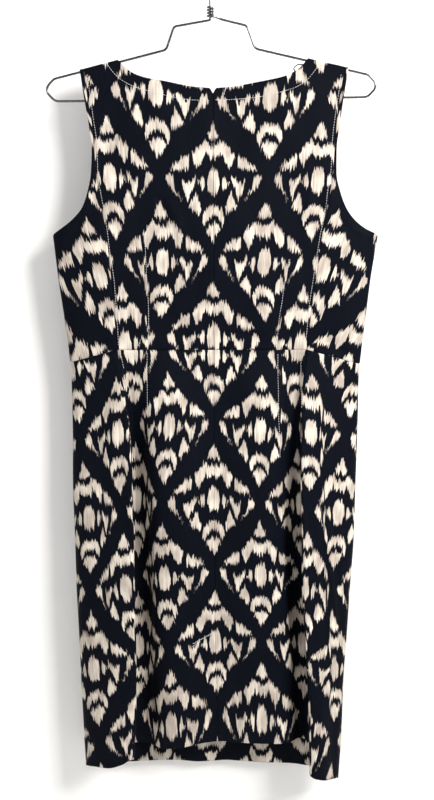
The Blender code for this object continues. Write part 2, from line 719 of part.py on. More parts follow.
def hanger_arms():
    """Each half of the wire frame, from the shank round its end to the bottom bar."""
    starts = {
        -1: [(0.0, SHANK_END - GAP, 0.0), (0.0, SHANK_END - GAP - 0.0025, 0.002)],
        1: [(COIL_RADIUS + WIRE + GAP, RIGHT_ARM_START, 0.0)],
    }
    for side, hand in ((-1, "left"), (1, "right")):
        corners = starts[side] + [(*tilted(side * out, z), bend) for _, out, z, bend in HANGER_HALF]
        tube(f"hanger_arm_{hand}", [(x, 0.0, z) for x, z in rounded_path(corners)])
    end_out, end_z = HANGER_HALF[-1][1:3]
    ends = [tilted(side * (end_out - GAP), end_z) for side in (-1, 1)]
    tube("hanger_bar", [(x, 0.0, z) for x, z in ends])


def hanger_hook():
    """Round hook, its stem curving in to the straight shank."""
    radius = HOOK_INNER_RADIUS + WIRE
    turn = [math.radians(a) for a in range(HOOK_TIP_ANGLE, HOOK_LEAVE_ANGLE - 1, -15)]
    path = [(radius * math.cos(a), 0.0, -HOOK_INNER_RADIUS + radius * math.sin(a)) for a in turn]
    leave = np.array(path[-1])
    foot = np.array((0.0, 0.0, SHANK_TOP))
    away = np.array((math.sin(turn[-1]), 0.0, -math.cos(turn[-1])))
    first, second = leave + away * STEM_PULL, foot + np.array((0.0, 0.0, STEM_PULL))
    steps = 6
    for i in range(1, steps + 1):
        u = i / steps
        path.append(tuple(leave * (1 - u) ** 3 + first * 3 * u * (1 - u) ** 2
                          + second * 3 * u * u * (1 - u) + foot * u ** 3))
    path.append((0.0, 0.0, SHANK_END))
    tube("hanger_hook", path)


def hanger_coil():
    """The right arm's wire wound about the shank."""
    steps = int(COIL_TURNS * 14)
    coil = []
    for i in range(steps + 1):
        angle = math.pi + 2 * math.pi * COIL_TURNS * i / steps
        coil.append((COIL_RADIUS * math.cos(angle), COIL_RADIUS * math.sin(angle),
                     COIL_TOP - COIL_PITCH * COIL_TURNS * i / steps))
    tube("hanger_coil", coil)


def clear_scene():
    for item in list(bpy.data.objects):
        bpy.data.objects.remove(item, do_unlink=True)


def main():
    clear_scene()
    for side in (-1, 1):
        centre_back_bodice(side)
        side_back_bodice(side)
    front_bodice()
    skirt_backs()
    front_skirt()
    front_hem_turn_up()
    zip_tape()
    back_vent_underlap()
    hanging_loop()
    hanger_arms()
    hanger_hook()
    hanger_coil()


main()
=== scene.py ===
"""Looks of a sleeveless sheath dress in an ikat print, on a chrome wire hanger, seen from its back.

Metres, +Z up, +X to the viewer's right, -Y towards the viewer. The origin is the point inside the
hook where a peg carries the hanger. Left and right are the viewer's.
"""
import functools
import math

import bpy
import numpy as np
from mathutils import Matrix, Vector
from mathutils.bvhtree import BVHTree


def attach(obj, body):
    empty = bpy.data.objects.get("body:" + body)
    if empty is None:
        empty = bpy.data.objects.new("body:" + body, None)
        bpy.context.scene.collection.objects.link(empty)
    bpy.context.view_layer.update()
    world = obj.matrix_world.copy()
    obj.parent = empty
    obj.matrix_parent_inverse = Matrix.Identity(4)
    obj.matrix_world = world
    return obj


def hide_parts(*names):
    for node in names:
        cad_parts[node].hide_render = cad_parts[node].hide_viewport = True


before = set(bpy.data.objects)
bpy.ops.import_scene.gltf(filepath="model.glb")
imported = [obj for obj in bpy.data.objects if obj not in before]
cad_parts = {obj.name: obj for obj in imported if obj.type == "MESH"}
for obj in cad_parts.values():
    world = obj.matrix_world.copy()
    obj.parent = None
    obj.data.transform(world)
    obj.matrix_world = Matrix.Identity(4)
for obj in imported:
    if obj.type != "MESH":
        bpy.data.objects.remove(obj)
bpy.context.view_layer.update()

# ---- sizes shared with the solids ---------------------------------------------------------------
CLOTH = 0.0010             # thickness of the cloth that is shown
SEAM_CLEAR = 0.0001        # half the space between two sewn edges
WIRE = 0.00155             # radius of the hanger's wire
GAP = 0.0003               # between pieces that lie on each other

HOOK_INNER_RADIUS = 0.019
HOOK_TIP_ANGLE = 205
HOOK_LEAVE_ANGLE = -50
STEM_PULL = 0.011
SHANK_TOP = -0.060
SHANK_END = -0.1005
COIL_TURNS = 3.25
COIL_PITCH = 0.0037
COIL_POINTS = 18           # to a turn
COIL_RADIUS = 2 * WIRE + GAP
RIGHT_ARM_START = -0.0998
HANGER_TILT = 0.75

# Half of the hanger's outline: where, how far out from the shank, height, rounding radius
HANGER_HALF = (
    ("elbow", 0.0475, -0.1110, 0.006),
    ("notch", 0.0580, -0.1400, 0.008),
    ("end_top", 0.2060, -0.1752, 0.010),
    ("end_tip", 0.2190, -0.1890, 0.010),
    ("end_low", 0.2050, -0.2036, 0.012),
    ("bar", 0.1520, -0.2042, 0.0),
)
# Bodice seams, across: height, princess seam left, centre, princess seam right
BODICE_SEAMS = (
    (-0.160, -0.1665, 0.0035, 0.1765),
    (-0.205, -0.1602, 0.0035, 0.1690),
    (-0.240, -0.1545, 0.0035, 0.1650),
    (-0.290, -0.1505, 0.0038, 0.1615),
    (-0.335, -0.1445, 0.0040, 0.1560),
    (-0.380, -0.1370, 0.0040, 0.1475),
    (-0.440, -0.1310, 0.0040, 0.1395),
    (-0.490, -0.1275, 0.0043, 0.1335),
    (-0.535, -0.1245, 0.0045, 0.1290),
    (-0.560, -0.1225, 0.0045, 0.1270),
)
# Armholes: height, left edge, right edge
ARMHOLES = (
    (-0.160, -0.1715, 0.1815),
    (-0.205, -0.1645, 0.1740),
    (-0.240, -0.1585, 0.1690),
    (-0.270, -0.1552, 0.1655),
    (-0.300, -0.1565, 0.1655),
    (-0.325, -0.1615, 0.1710),
    (-0.345, -0.1690, 0.1790),
    (-0.360, -0.1820, 0.1900),
    (-0.371, -0.1965, 0.2040),
    (-0.380, -0.2100, 0.2235),
)
UNDERARM = -0.380
# Side seams: height, left, right
SIDES = (
    (-0.380, -0.2100, 0.2235),
    (-0.440, -0.2035, 0.2145),
    (-0.490, -0.1968, 0.2090),
    (-0.535, -0.1915, 0.2040),
    (-0.570, -0.1885, 0.2010),
    (-0.640, -0.1880, 0.2005),
    (-0.720, -0.1890, 0.1990),
    (-0.790, -0.1875, 0.1980),
    (-0.860, -0.1865, 0.1940),
    (-0.930, -0.1840, 0.1905),
    (-1.000, -0.1820, 0.1865),
    (-1.070, -0.1795, 0.1850),
    (-1.145, -0.1765, 0.1815),
)
# Neckline: distance from the centre line, height
NECKLINE = (
    (0.0000, -0.1905),
    (0.0250, -0.1885),
    (0.0570, -0.1828),
    (0.0850, -0.1778),
    (0.1010, -0.1720),
    (0.1130, -0.1640),
    (0.1245, -0.1515),
)
NECK_LEVEL = -0.190
STRAP_LEVEL = -0.165
FRONT_NECK_DROP = 0.010
NOTCH_DEPTH, NOTCH_HALF = 0.0070, 0.0048    # where the back's two halves part above the zip
WAIST = -0.532
WAIST_SLOPE = 0.27

# How far the back and the front stand off the hanger's plane: height, back, front
DEPTH = (
    (-0.150, 0.0070, 0.0070),
    (-0.200, 0.0105, 0.0120),
    (-0.260, 0.0160, 0.0200),
    (-0.320, 0.0210, 0.0300),
    (-0.380, 0.0240, 0.0360),
    (-0.440, 0.0240, 0.0340),
    (-0.490, 0.0220, 0.0270),
    (-0.535, 0.0200, 0.0220),
    (-0.600, 0.0240, 0.0255),
    (-0.680, 0.0270, 0.0280),
    (-0.765, 0.0290, 0.0290),
    (-0.850, 0.0310, 0.0300),
    (-0.935, 0.0320, 0.0300),
    (-1.020, 0.0330, 0.0300),
    (-1.145, 0.0340, 0.0300),
)
ROUNDNESS = 2.6
SHOULDER_RUN = 0.045
STRAP_CAP = WIRE + 1.7 * GAP + 0.0012      # how far the strap stands off the wire's centre
CAP_STRETCH = 1.03

# Back skirt's two deep folds, across: height, fold, foot and ridge on the left, centre,
# ridge, foot and fold on the right
SKIRT_FOLDS = (
    (-0.530, -0.1245, -0.1180, -0.0850, 0.0045, 0.0950, 0.1220, 0.1290),
    (-0.600, -0.1130, -0.1065, -0.0840, 0.0045, 0.0970, 0.1160, 0.1215),
    (-0.680, -0.1055, -0.1020, -0.0790, 0.0045, 0.0960, 0.1140, 0.1215),
    (-0.765, -0.1045, -0.1010, -0.0765, 0.0050, 0.0960, 0.1140, 0.1243),
    (-0.850, -0.1040, -0.1010, -0.0765, 0.0055, 0.1020, 0.1185, 0.1256),
    (-0.935, -0.1030, -0.1000, -0.0735, 0.0065, 0.1070, 0.1230, 0.1315),
    (-1.020, -0.1040, -0.1000, -0.0710, 0.0090, 0.1120, 0.1290, 0.1365),
    (-1.110, -0.1085, -0.1030, -0.0715, 0.0105, 0.1160, 0.1330, 0.1395),
)
# How much those lines stand out from the rounded oval: height, side, fold, foot, ridge, centre
SKIRT_RELIEF = (
    (-0.530, 0.0000, 0.0000, 0.0000, 0.0000, 0.0000),
    (-0.600, 0.0010, 0.0045, -0.0080, 0.0010, 0.0020),
    (-0.680, 0.0030, 0.0080, -0.0190, 0.0000, 0.0020),
    (-0.765, 0.0050, 0.0110, -0.0270, -0.0030, -0.0010),
    (-0.850, 0.0065, 0.0130, -0.0330, -0.0085, -0.0060),
    (-0.935, 0.0080, 0.0140, -0.0370, -0.0145, -0.0120),
    (-1.020, 0.0090, 0.0150, -0.0395, -0.0205, -0.0190),
    (-1.110, 0.0100, 0.0160, -0.0405, -0.0265, -0.0250),
)
# How far the front skirt waves at its hem: share of the way across, distance outwards
FRONT_WAVES = ((0.16, 0.0), (0.30, 0.003), (0.44, -0.002), (0.56, 0.003), (0.70, -0.001), (0.84, 0.0))
BACK_HEM = {
    "side_left": -1.125, "mid_left": -1.114, "fold_left": -1.096, "foot_left": -1.096,
    "ridge_left": -1.096, "centre": -1.086, "ridge_right": -1.087, "foot_right": -1.093,
    "fold_right": -1.123, "mid_right": -1.133, "side_right": -1.144,
}
FRONT_HEM = -1.133
# Named lines down the back skirt, from the left side seam to the right one
HALF_LINES = ("side", "rim", "turn", "shelf", "mid", "near", "fold", "wall", "foot", "step", "ridge")
BACK_LINES = (*(name + "_left" for name in HALF_LINES), "centre",
              *(name + "_right" for name in HALF_LINES[::-1]))
# Lines beside a side seam: how far in from it, and their share of its relief
RIM = {"rim": (0.0010, 0.0), "turn": (0.0040, 0.1), "shelf": (0.0140, 0.4)}
NEAR_FOLD, NEAR_SHARE = 0.012, 0.93        # the line beside a fold, and its share of the fold's relief
WALL_LEAN, LEAN_RUN = 0.0030, 0.2          # how far the fold's inner wall leans under it, grown over
FOOT_UNDER, UNDER_RUN = 0.0050, 0.15       # how far the valley's floor runs in under it, grown over
STEP_RISE = 0.16           # height of the valley's floor at its open side, as a share of the ridge's
FRONT_SHARES = (0.0, 0.0025, 0.010, 0.036, 0.09, 0.16, 0.23, 0.30, 0.37, 0.44, 0.50, 0.56, 0.63, 0.70,
                0.77, 0.84, 0.91, 0.964, 0.990, 0.9975, 1.0)

# ---- the print ----------------------------------------------------------------------------------
REPEAT_ACROSS = 0.145      # between two motifs side by side
REPEAT_ALONG = 0.2085      # between two motifs one below the other
MOTIF_HALF_WIDTH = 0.065
MOTIF_LENGTH = 0.158
FULL_TURN = 2 * math.pi

# Bodice darts: height of the tip, where it lies across, and where the dart meets the waist
DART_TIPS = {
    "centre_back_bodice_left": (-0.380, -0.0870, -0.0830),
    "centre_back_bodice_right": (-0.409, 0.1040, 0.0880),
}


# ---- curves and forms ---------------------------------------------------------------------------
@functools.lru_cache(maxsize=None)
def prepared(rows, column):
    """A table's places, values and slopes for smooth, worked out once."""
    order = sorted(rows, key=lambda row: row[0])
    xs = np.array([row[0] for row in order], float)
    ys = np.array([row[column] for row in order], float)
    slopes = np.diff(ys) / np.diff(xs)
    before, after = slopes[:-1], slopes[1:]
    same_way = before * after > 0
    total = np.where(same_way, before + after, 1.0)
    inner = np.where(same_way, 2 * before * after / total, 0.0)
    return xs, ys, np.concatenate(([slopes[0]], inner, [slopes[-1]]))


def bridged(a, b, u, span, leaving, arriving):
    """Cubic from a to b, at share u of the span, with its slopes at both ends."""
    return (a * (1 + 2 * u) * (1 - u) ** 2 + b * u * u * (3 - 2 * u)
            + span * (leaving * u * (1 - u) ** 2 - arriving * u * u * (1 - u)))


def smooth(rows, column, at):
    """Values of one column of a table at heights or distances, without overshoot between rows."""
    xs, ys, tangents = prepared(rows, column)
    at = np.clip(np.asarray(at, float), xs[0], xs[-1])
    i = np.clip(np.searchsorted(xs, at, side="right") - 1, 0, len(xs) - 2)
    step = xs[i + 1] - xs[i]
    return bridged(ys[i], ys[i + 1], (at - xs[i]) / step, step, tangents[i], tangents[i + 1])


def ease(u):
    u = np.clip(u, 0.0, 1.0)
    return u * u * (3 - 2 * u)


def centre_x(z):
    return smooth(BODICE_SEAMS, 2, z)


def outer_edge(z, side):
    """Armhole or side seam at a height. side is -1 for left and 1 for right."""
    column = 1 if side < 0 else 2
    return np.where(np.asarray(z) <= UNDERARM, smooth(SIDES, column, z), smooth(ARMHOLES, column, z))


def nearer_edge(x, z):
    """The armhole or side seam on x's own side of the centre line."""
    return np.where(x < centre_x(z), outer_edge(z, -1), outer_edge(z, 1))


def princess_x(z, side):
    return smooth(BODICE_SEAMS, 1 if side < 0 else 3, z)


def tilted(x, z):
    """A point of the level hanger, where it hangs slightly turned."""
    turn = math.radians(HANGER_TILT)
    down = z - SHANK_END
    return (x * math.cos(turn) - down * math.sin(turn),
            SHANK_END + x * math.sin(turn) + down * math.cos(turn))


def arm_height(x):
    """Centre of the sloping arm's wire at x, carried on towards the neck."""
    heights = []
    for side in (-1, 1):
        (x0, z0), (x1, z1) = (tilted(side * out, z) for name, out, z, _ in HANGER_HALF
                              if name in ("notch", "end_top"))
        heights.append(z0 + (x - x0) * (z1 - z0) / (x1 - x0))
    return np.where(np.asarray(x) < 0, heights[0], heights[1])


def shoulder_height(x):
    return arm_height(x) + STRAP_CAP * CAP_STRETCH


def waist_height(x, front=False):
    """Waist seam: level between the back's princess seams, and a shallow bow across the front."""
    if not front:
        beyond = np.maximum(np.maximum(x - princess_x(WAIST, 1), princess_x(WAIST, -1) - x), 0.0)
        return WAIST - WAIST_SLOPE * beyond
    middle, edge = centre_x(WAIST), nearer_edge(x, WAIST)
    return WAIST + (waist_height(edge) - WAIST) * ((x - middle) / (edge - middle)) ** 2


def neck_height(x, front=False):
    middle = centre_x(NECK_LEVEL)
    away = np.abs(x - middle)
    reach, strap_top = NECKLINE[-1]
    meets = shoulder_height(middle + np.copysign(reach, x - middle)) - strap_top
    height = smooth(NECKLINE, 1, away) + meets * (away / reach) ** 6
    if front:
        return height - FRONT_NECK_DROP * (1 - ease(away / reach))
    return height - NOTCH_DEPTH * np.maximum(1 - away / NOTCH_HALF, 0.0) ** 1.4


def oval(x, z, front=False):
    """How far the rounded form stands off the hanger's plane."""
    middle = centre_x(z)
    low = np.minimum(z, UNDERARM)
    half = np.where(x < middle, smooth(SIDES, 1, low), smooth(SIDES, 2, low)) - middle
    across = np.minimum(np.abs((x - middle) / half), 1.0)
    return smooth(DEPTH, 2 if front else 1, z) * (1 - across ** ROUNDNESS) ** (1 / ROUNDNESS)


def bodice_depth(x, z, front=False):
    """As oval, closing over the hanger's wire along the shoulder."""
    below = np.maximum(shoulder_height(x) - z, 0.0)
    turn = 1 - np.minimum(below, STRAP_CAP) / STRAP_CAP
    closing = STRAP_CAP * np.sqrt(np.maximum(1 - turn ** 2, 0.0))
    return closing + (oval(x, z, front) - STRAP_CAP) * ease(below / SHOULDER_RUN)


def back_key(name, z):
    """Plan points (x, y) of one named line of the back skirt at several heights."""
    place, _, hand = name.partition("_")
    side = -1 if hand == "left" else 1
    edge = outer_edge(z, side)
    low = np.minimum(z, SKIRT_FOLDS[0][0])

    def standing_out(x, relief, share=1.0):
        return x, -oval(x, z) - share * smooth(SKIRT_RELIEF, relief, low)

    if place == "centre":
        return standing_out(smooth(SKIRT_FOLDS, 4, low), 5)
    if place == "side":
        return edge, edge * 0.0
    if place in RIM:
        inside, share = RIM[place]
        return standing_out(edge - side * inside, 1, share)
    column = {"fold": 1, "foot": 2, "ridge": 3} if side < 0 else {"ridge": 5, "foot": 6, "fold": 7}
    fold = smooth(SKIRT_FOLDS, column["fold"], low)
    if place == "mid":
        return standing_out((edge + fold) / 2, 1)
    if place == "near":
        return standing_out(fold + side * NEAR_FOLD, 2, NEAR_SHARE)
    if place in ("wall", "step"):
        (fold_x, fold_y), (foot_x, foot_y), (ridge_x, ridge_y) = (
            back_key(f"{other}_{hand}", z) for other in ("fold", "foot", "ridge"))
        if place == "step":
            return (foot_x + ridge_x) / 2, foot_y + (ridge_y - foot_y) * STEP_RISE
        lean = side * WALL_LEAN * ease((WAIST - z) / LEAN_RUN)
        return (fold_x + foot_x) / 2 + lean, (fold_y + foot_y) / 2
    x = smooth(SKIRT_FOLDS, column[place], low)
    if place == "foot":
        x = x + side * FOOT_UNDER * ease((WAIST - z) / UNDER_RUN)
    return standing_out(x, {"fold": 2, "foot": 3, "ridge": 4}[place])


def front_key(share, z):
    """Plan points of the front skirt, share 0 at the left side seam and 1 at the right."""
    left, right = outer_edge(z, -1), outer_edge(z, 1)
    x = left + (right - left) * share
    reach = ease((WAIST - z) / (WAIST - FRONT_HEM))
    return x, oval(x, z, True) + reach * smooth(FRONT_WAVES, 1, share)


KEY_HEIGHTS = np.linspace(-0.515, -1.160, 324)     # where the skirt's lines are worked out once


@functools.lru_cache(maxsize=None)
def key_lines(front):
    """Plan points of every named line at KEY_HEIGHTS, as an array (line, height, xy)."""
    if front:
        lines = [front_key(share, KEY_HEIGHTS) for share in FRONT_SHARES]
    else:
        lines = [back_key(name, KEY_HEIGHTS) for name in BACK_LINES]
    return np.array([np.stack(line, axis=-1) for line in lines])


def skirt_plan(s, z, front=False):
    """Points (x, y) of the section's smooth curve at places s, counted in lines, and heights z."""
    lines = key_lines(front)
    last = len(lines) - 1
    s, z = np.broadcast_arrays(np.asarray(s, float), np.asarray(z, float))
    i = np.clip(np.floor(s).astype(int), 0, last - 1)
    u = (s - i)[..., None]
    at = (z - KEY_HEIGHTS[0]) / (KEY_HEIGHTS[1] - KEY_HEIGHTS[0])
    k = np.clip(np.floor(at).astype(int), 0, len(KEY_HEIGHTS) - 2)
    t = (at - k)[..., None]

    def key(j):
        j = np.clip(j, 0, last)
        return lines[j, k] * (1 - t) + lines[j, k + 1] * t

    def length(v):
        return np.maximum(np.linalg.norm(v, axis=-1, keepdims=True), 1e-9)

    before, p1, p2, after = key(i - 1), key(i), key(i + 1), key(i + 2)
    span = length(p2 - p1)
    straight = (p2 - p1) / span

    def tangent(a, b, c):
        la, lb = length(b - a), length(c - b)
        return ((b - a) / la * lb + (c - b) / lb * la) / (la + lb)

    start = np.where((i > 0)[..., None], tangent(before, p1, p2), straight)
    end = np.where((i < last - 1)[..., None], tangent(p1, p2, after), straight)
    return bridged(p1, p2, u, span, start, end)


def at_heights(plan, z):
    """Plan points and their heights as places (x, y, z)."""
    return np.stack((plan[..., 0], plan[..., 1], z), axis=-1)


def hem_height(s, front=False):
    if front:
        share = np.interp(s, range(len(FRONT_SHARES)), FRONT_SHARES)
        ends = BACK_HEM["side_left"] + (BACK_HEM["side_right"] - BACK_HEM["side_left"]) * share
        return ends + (FRONT_HEM - ends) * np.maximum(np.sin(math.pi * share), 0.0) ** 0.6
    named = tuple((BACK_LINES.index(name), height) for name, height in BACK_HEM.items())
    return smooth(named, 1, s)


def skirt_top(s, front=False):
    return waist_height(skirt_plan(s, WAIST, front)[..., 0], front) - SEAM_CLEAR


# ---- laying out a panel's points ----------------------------------------------------------------
STEP = 0.0030              # between the cloth's points
FRONT_STEP, FRONT_SKIRT_STEP, SKIRT_ROW_STEP = 0.0035, 0.0036, 0.0034
BESIDE_SEAM = (0.0005, 0.0010, 0.0016, 0.0024, 0.0034, 0.0046)
CLEAR_BESIDE = 0.0008      # left free beyond the points beside a seam
CLOSEST = 0.0003
NEARLY = 1e-6              # for comparing places and heights
# About how large the panels are, to space their points
CENTRE_WIDTH, SIDE_WIDTH, FRONT_WIDTH, SKIRT_LENGTH, BODICE_HEIGHT = 0.142, 0.075, 0.400, 0.600, 0.375
SECTION_LEVEL = -0.85      # height of the skirt's section along which columns are spaced


def stations(length, step=STEP, first=True, last=True, beside=()):
    """Shares of the way along an edge, closer together beside seams and named places."""
    points = list(np.linspace(0.0, length, int(math.ceil(length / step)) + 1))
    centres = [0.0] * first + [length] * last + [share * length for share in beside]
    for centre in centres:
        points = [p for p in points if abs(p - centre) > BESIDE_SEAM[-1] + CLEAR_BESIDE]
        points += [centre + sign * d for d in (0.0, *BESIDE_SEAM) for sign in (-1, 1)]
    points = sorted({round(p, 6) for p in points if -1e-9 <= p <= length + 1e-9} | {0.0, round(length, 6)})
    kept = [points[0]]
    for p in points[1:]:
        if p - kept[-1] > CLOSEST:
            kept.append(p)
    kept[-1] = points[-1]
    return np.array(kept) / kept[-1]


def outward(places, front):
    """Unit ways out of a grid of places."""
    across, down = np.gradient(places, axis=1), np.gradient(places, axis=0)
    way = np.cross(across, down)
    way /= np.maximum(np.linalg.norm(way, axis=-1, keepdims=True), 1e-12)
    return way if (way[..., 1].mean() > 0) == front else -way


def lengths(places, axis):
    """Distance travelled over the cloth from the first row or column."""
    steps = np.linalg.norm(np.diff(places, axis=axis), axis=-1)
    shape = list(places.shape[:2])
    shape[axis] = 1
    return np.concatenate((np.zeros(shape), np.cumsum(steps, axis=axis)), axis=axis)


def travelled(path):
    """Distance travelled along a path of points, at each of them."""
    return np.concatenate(([0.0], np.cumsum(np.linalg.norm(np.diff(path, axis=0), axis=-1))))


CAP_ROWS = (0.9900, 0.9912, 0.9924, 0.9936, 0.9948, 0.9960, 0.9970, 0.9979, 0.9987, 0.9994, 1.0)
BODICE_ROWS = np.concatenate((stations(BODICE_HEIGHT, last=False)[:-4] * 0.999, CAP_ROWS))


def top_edge(x_shoulder, x_neck, x_middle, strap_share, share, front=False):
    """Points along the shoulder and then the neckline, share 0 at the shoulder's end."""
    on_strap = x_shoulder + (x_neck - x_shoulder) * share / strap_share
    on_neck = x_neck + (x_middle - x_neck) * (share - strap_share) / (1 - strap_share)
    strap = share <= strap_share
    x = np.where(strap, on_strap, on_neck)
    return x, np.where(strap, shoulder_height(x), neck_height(x, front))


def blended(left, right, bottom, top, s, v):
    """Points inside four edges, each a function giving (x, z)."""
    def pair(xz):
        return np.stack(np.broadcast_arrays(*xz), axis=-1)
    s1, v1 = s[..., None], v[..., None]
    across = (1 - s1) * pair(left(v)) + s1 * pair(right(v))
    along = (1 - v1) * pair(bottom(s)) + v1 * pair(top(s))
    zero, one = s * 0.0, s * 0.0 + 1.0
    corners = ((1 - s1) * (1 - v1) * pair(bottom(zero)) + s1 * (1 - v1) * pair(bottom(one))
               + (1 - s1) * v1 * pair(top(zero)) + s1 * v1 * pair(top(one)))
    return across + along - corners


def strap_inner(side):
    return centre_x(NECK_LEVEL) + side * NECKLINE[-1][0]


def above_waist(z, v):
    """The bodice's heights, with its lowest row kept clear of the skirt."""
    return z + np.where(v == 0.0, SEAM_CLEAR, 0.0)


def on_bodice(x, z, front=False):
    """Places on the bodice's outer face."""
    sign = 1 if front else -1
    closed = (z <= UNDERARM) & (np.abs(x - nearer_edge(x, z)) < 1e-5)
    depth = np.where(closed, GAP / 2, np.maximum(bodice_depth(x, z, front), GAP / 2))
    depth = np.where(z >= shoulder_height(x) - NEARLY, GAP / 2, depth)
    return np.stack((x, sign * depth, z), axis=-1)


def centre_back_bodice(side):
    """Back panel from the princess seam (column 0) to the centre seam."""
    strap_share, dart_share = 0.3, 0.335
    tip, x_tip, x_wide = DART_TIPS["centre_back_bodice_" + ("left" if side < 0 else "right")]

    def seam(v):
        z = ((1 - v) * waist_height(princess_x(WAIST, side))
             + v * shoulder_height(princess_x(STRAP_LEVEL, side)))
        return princess_x(z, side) - side * SEAM_CLEAR, z

    def middle(v):
        z = (1 - v) * waist_height(centre_x(WAIST)) + v * neck_height(centre_x(NECK_LEVEL))
        return centre_x(z) + side * SEAM_CLEAR, z

    def bottom(s):
        x = (1 - s) * seam(0.0)[0] + s * middle(0.0)[0]
        return x, waist_height(x)

    def top(s):
        return top_edge(seam(1.0)[0], strap_inner(side), middle(1.0)[0], strap_share, s)

    columns = stations(CENTRE_WIDTH, beside=(strap_share, dart_share))
    s, v = np.meshgrid(columns, BODICE_ROWS)
    level = WAIST + v * (STRAP_LEVEL - WAIST)
    x_dart = x_wide + (x_tip - x_wide) * (level - WAIST) / (tip - WAIST)
    share = (x_dart - seam(v)[0]) / (middle(v)[0] - seam(v)[0])
    fade = ease((level - tip) / 0.05)
    share = share * (1 - fade) + dart_share * fade
    bent = np.where(s <= dart_share, s / dart_share * share,
                    1 - (1 - s) / (1 - dart_share) * (1 - share))
    x, z = np.moveaxis(blended(seam, middle, bottom, top, bent, v), -1, 0)
    z = np.where((v == 1.0) & (bent <= strap_share + NEARLY), shoulder_height(x), z)
    return on_bodice(x, above_waist(z, v)), int(np.argmin(np.abs(columns - dart_share)))


def side_back_bodice(side):
    """Back panel from the side seam (column 0) to the princess seam, running up to the shoulder."""
    s, v = np.meshgrid(stations(SIDE_WIDTH), BODICE_ROWS)
    x_low = outer_edge(WAIST, side) * (1 - s) + princess_x(WAIST, side) * s
    x_high = outer_edge(STRAP_LEVEL, side) * (1 - s) + princess_x(STRAP_LEVEL, side) * s
    z = (1 - v) * waist_height(x_low) + v * shoulder_height(x_high)
    x = (1 - s) * outer_edge(z, side) + s * (princess_x(z, side) + side * SEAM_CLEAR)
    return on_bodice(x, above_waist(np.where(v == 1.0, shoulder_height(x), z), v))


def front_bodice():
    """The whole front above the waist, plainly cut."""
    strap_share = 0.16

    def edge(side):
        def at(v):
            z = ((1 - v) * waist_height(outer_edge(WAIST, side))
                 + v * shoulder_height(outer_edge(STRAP_LEVEL, side)))
            return outer_edge(z, side), z
        return at

    left, right = edge(-1), edge(1)

    def bottom(s):
        level_x = (1 - s) * outer_edge(WAIST, -1) + s * outer_edge(WAIST, 1)
        return (1 - s) * left(0.0)[0] + s * right(0.0)[0], waist_height(level_x, True)

    def top(s):
        middle = centre_x(NECK_LEVEL)
        first = top_edge(left(1.0)[0], strap_inner(-1), middle, 2 * strap_share, 2 * s, True)
        second = top_edge(right(1.0)[0], strap_inner(1), middle, 2 * strap_share, 2 - 2 * s, True)
        return tuple(np.where(s <= 0.5, a, b) for a, b in zip(first, second))

    columns = stations(FRONT_WIDTH, step=FRONT_STEP, beside=(strap_share, 1 - strap_share))
    s, v = np.meshgrid(columns, BODICE_ROWS)
    x, z = np.moveaxis(blended(left, right, bottom, top, s, v), -1, 0)
    x = np.clip(x, outer_edge(z, -1), outer_edge(z, 1))
    on_strap = (s <= strap_share + NEARLY) | (s >= 1 - strap_share - NEARLY)
    z = np.where((v == 1.0) & on_strap, shoulder_height(x), z)
    return on_bodice(x, above_waist(z, v), True)


def section_places(stops, front, step, dart=None):
    """Section places through the stops, even over the cloth and closer at the ends and the dart."""
    seams = (0, len(stops) - 1) if dart is None else (0, len(stops) - 1, dart, dart + 1)
    places, columns = [float(stops[0])], [0]
    for number, (first, last) in enumerate(zip(stops, stops[1:])):
        if last == first:
            columns.append(columns[-1])
            continue
        dense = np.linspace(first, last, 400)
        along = travelled(skirt_plan(dense, SECTION_LEVEL, front))
        shares = stations(along[-1], step, number in seams, number + 1 in seams)
        places += list(np.interp(shares[1:] * along[-1], along, dense))
        columns.append(len(places) - 1)
    return np.array(places), tuple(columns)


def skirt_panel(stops, front=False, step=STEP, dart=None):
    """Grid from the waist (row 0) to the hem between section lines, the stops' columns and its places."""
    places, columns = section_places(stops, front, step, dart)
    s, v = np.meshgrid(places, stations(SKIRT_LENGTH, step=SKIRT_ROW_STEP))
    z = (1 - v) * skirt_top(s, front) + v * hem_height(s, front)
    grid = at_heights(skirt_plan(s, z, front), z)
    ends = len(FRONT_SHARES) - 1 if front else len(BACK_LINES) - 1
    for column, at in ((0, stops[0]), (-1, stops[-1])):
        if at in (0, ends):
            grid[:, column, 1] = (1 if front else -1) * GAP / 2
        else:
            inward = grid[:, 1 if column == 0 else -2] - grid[:, column]
            grid[:, column] += inward / np.linalg.norm(inward, axis=-1, keepdims=True) * SEAM_CLEAR
    return grid, columns, s


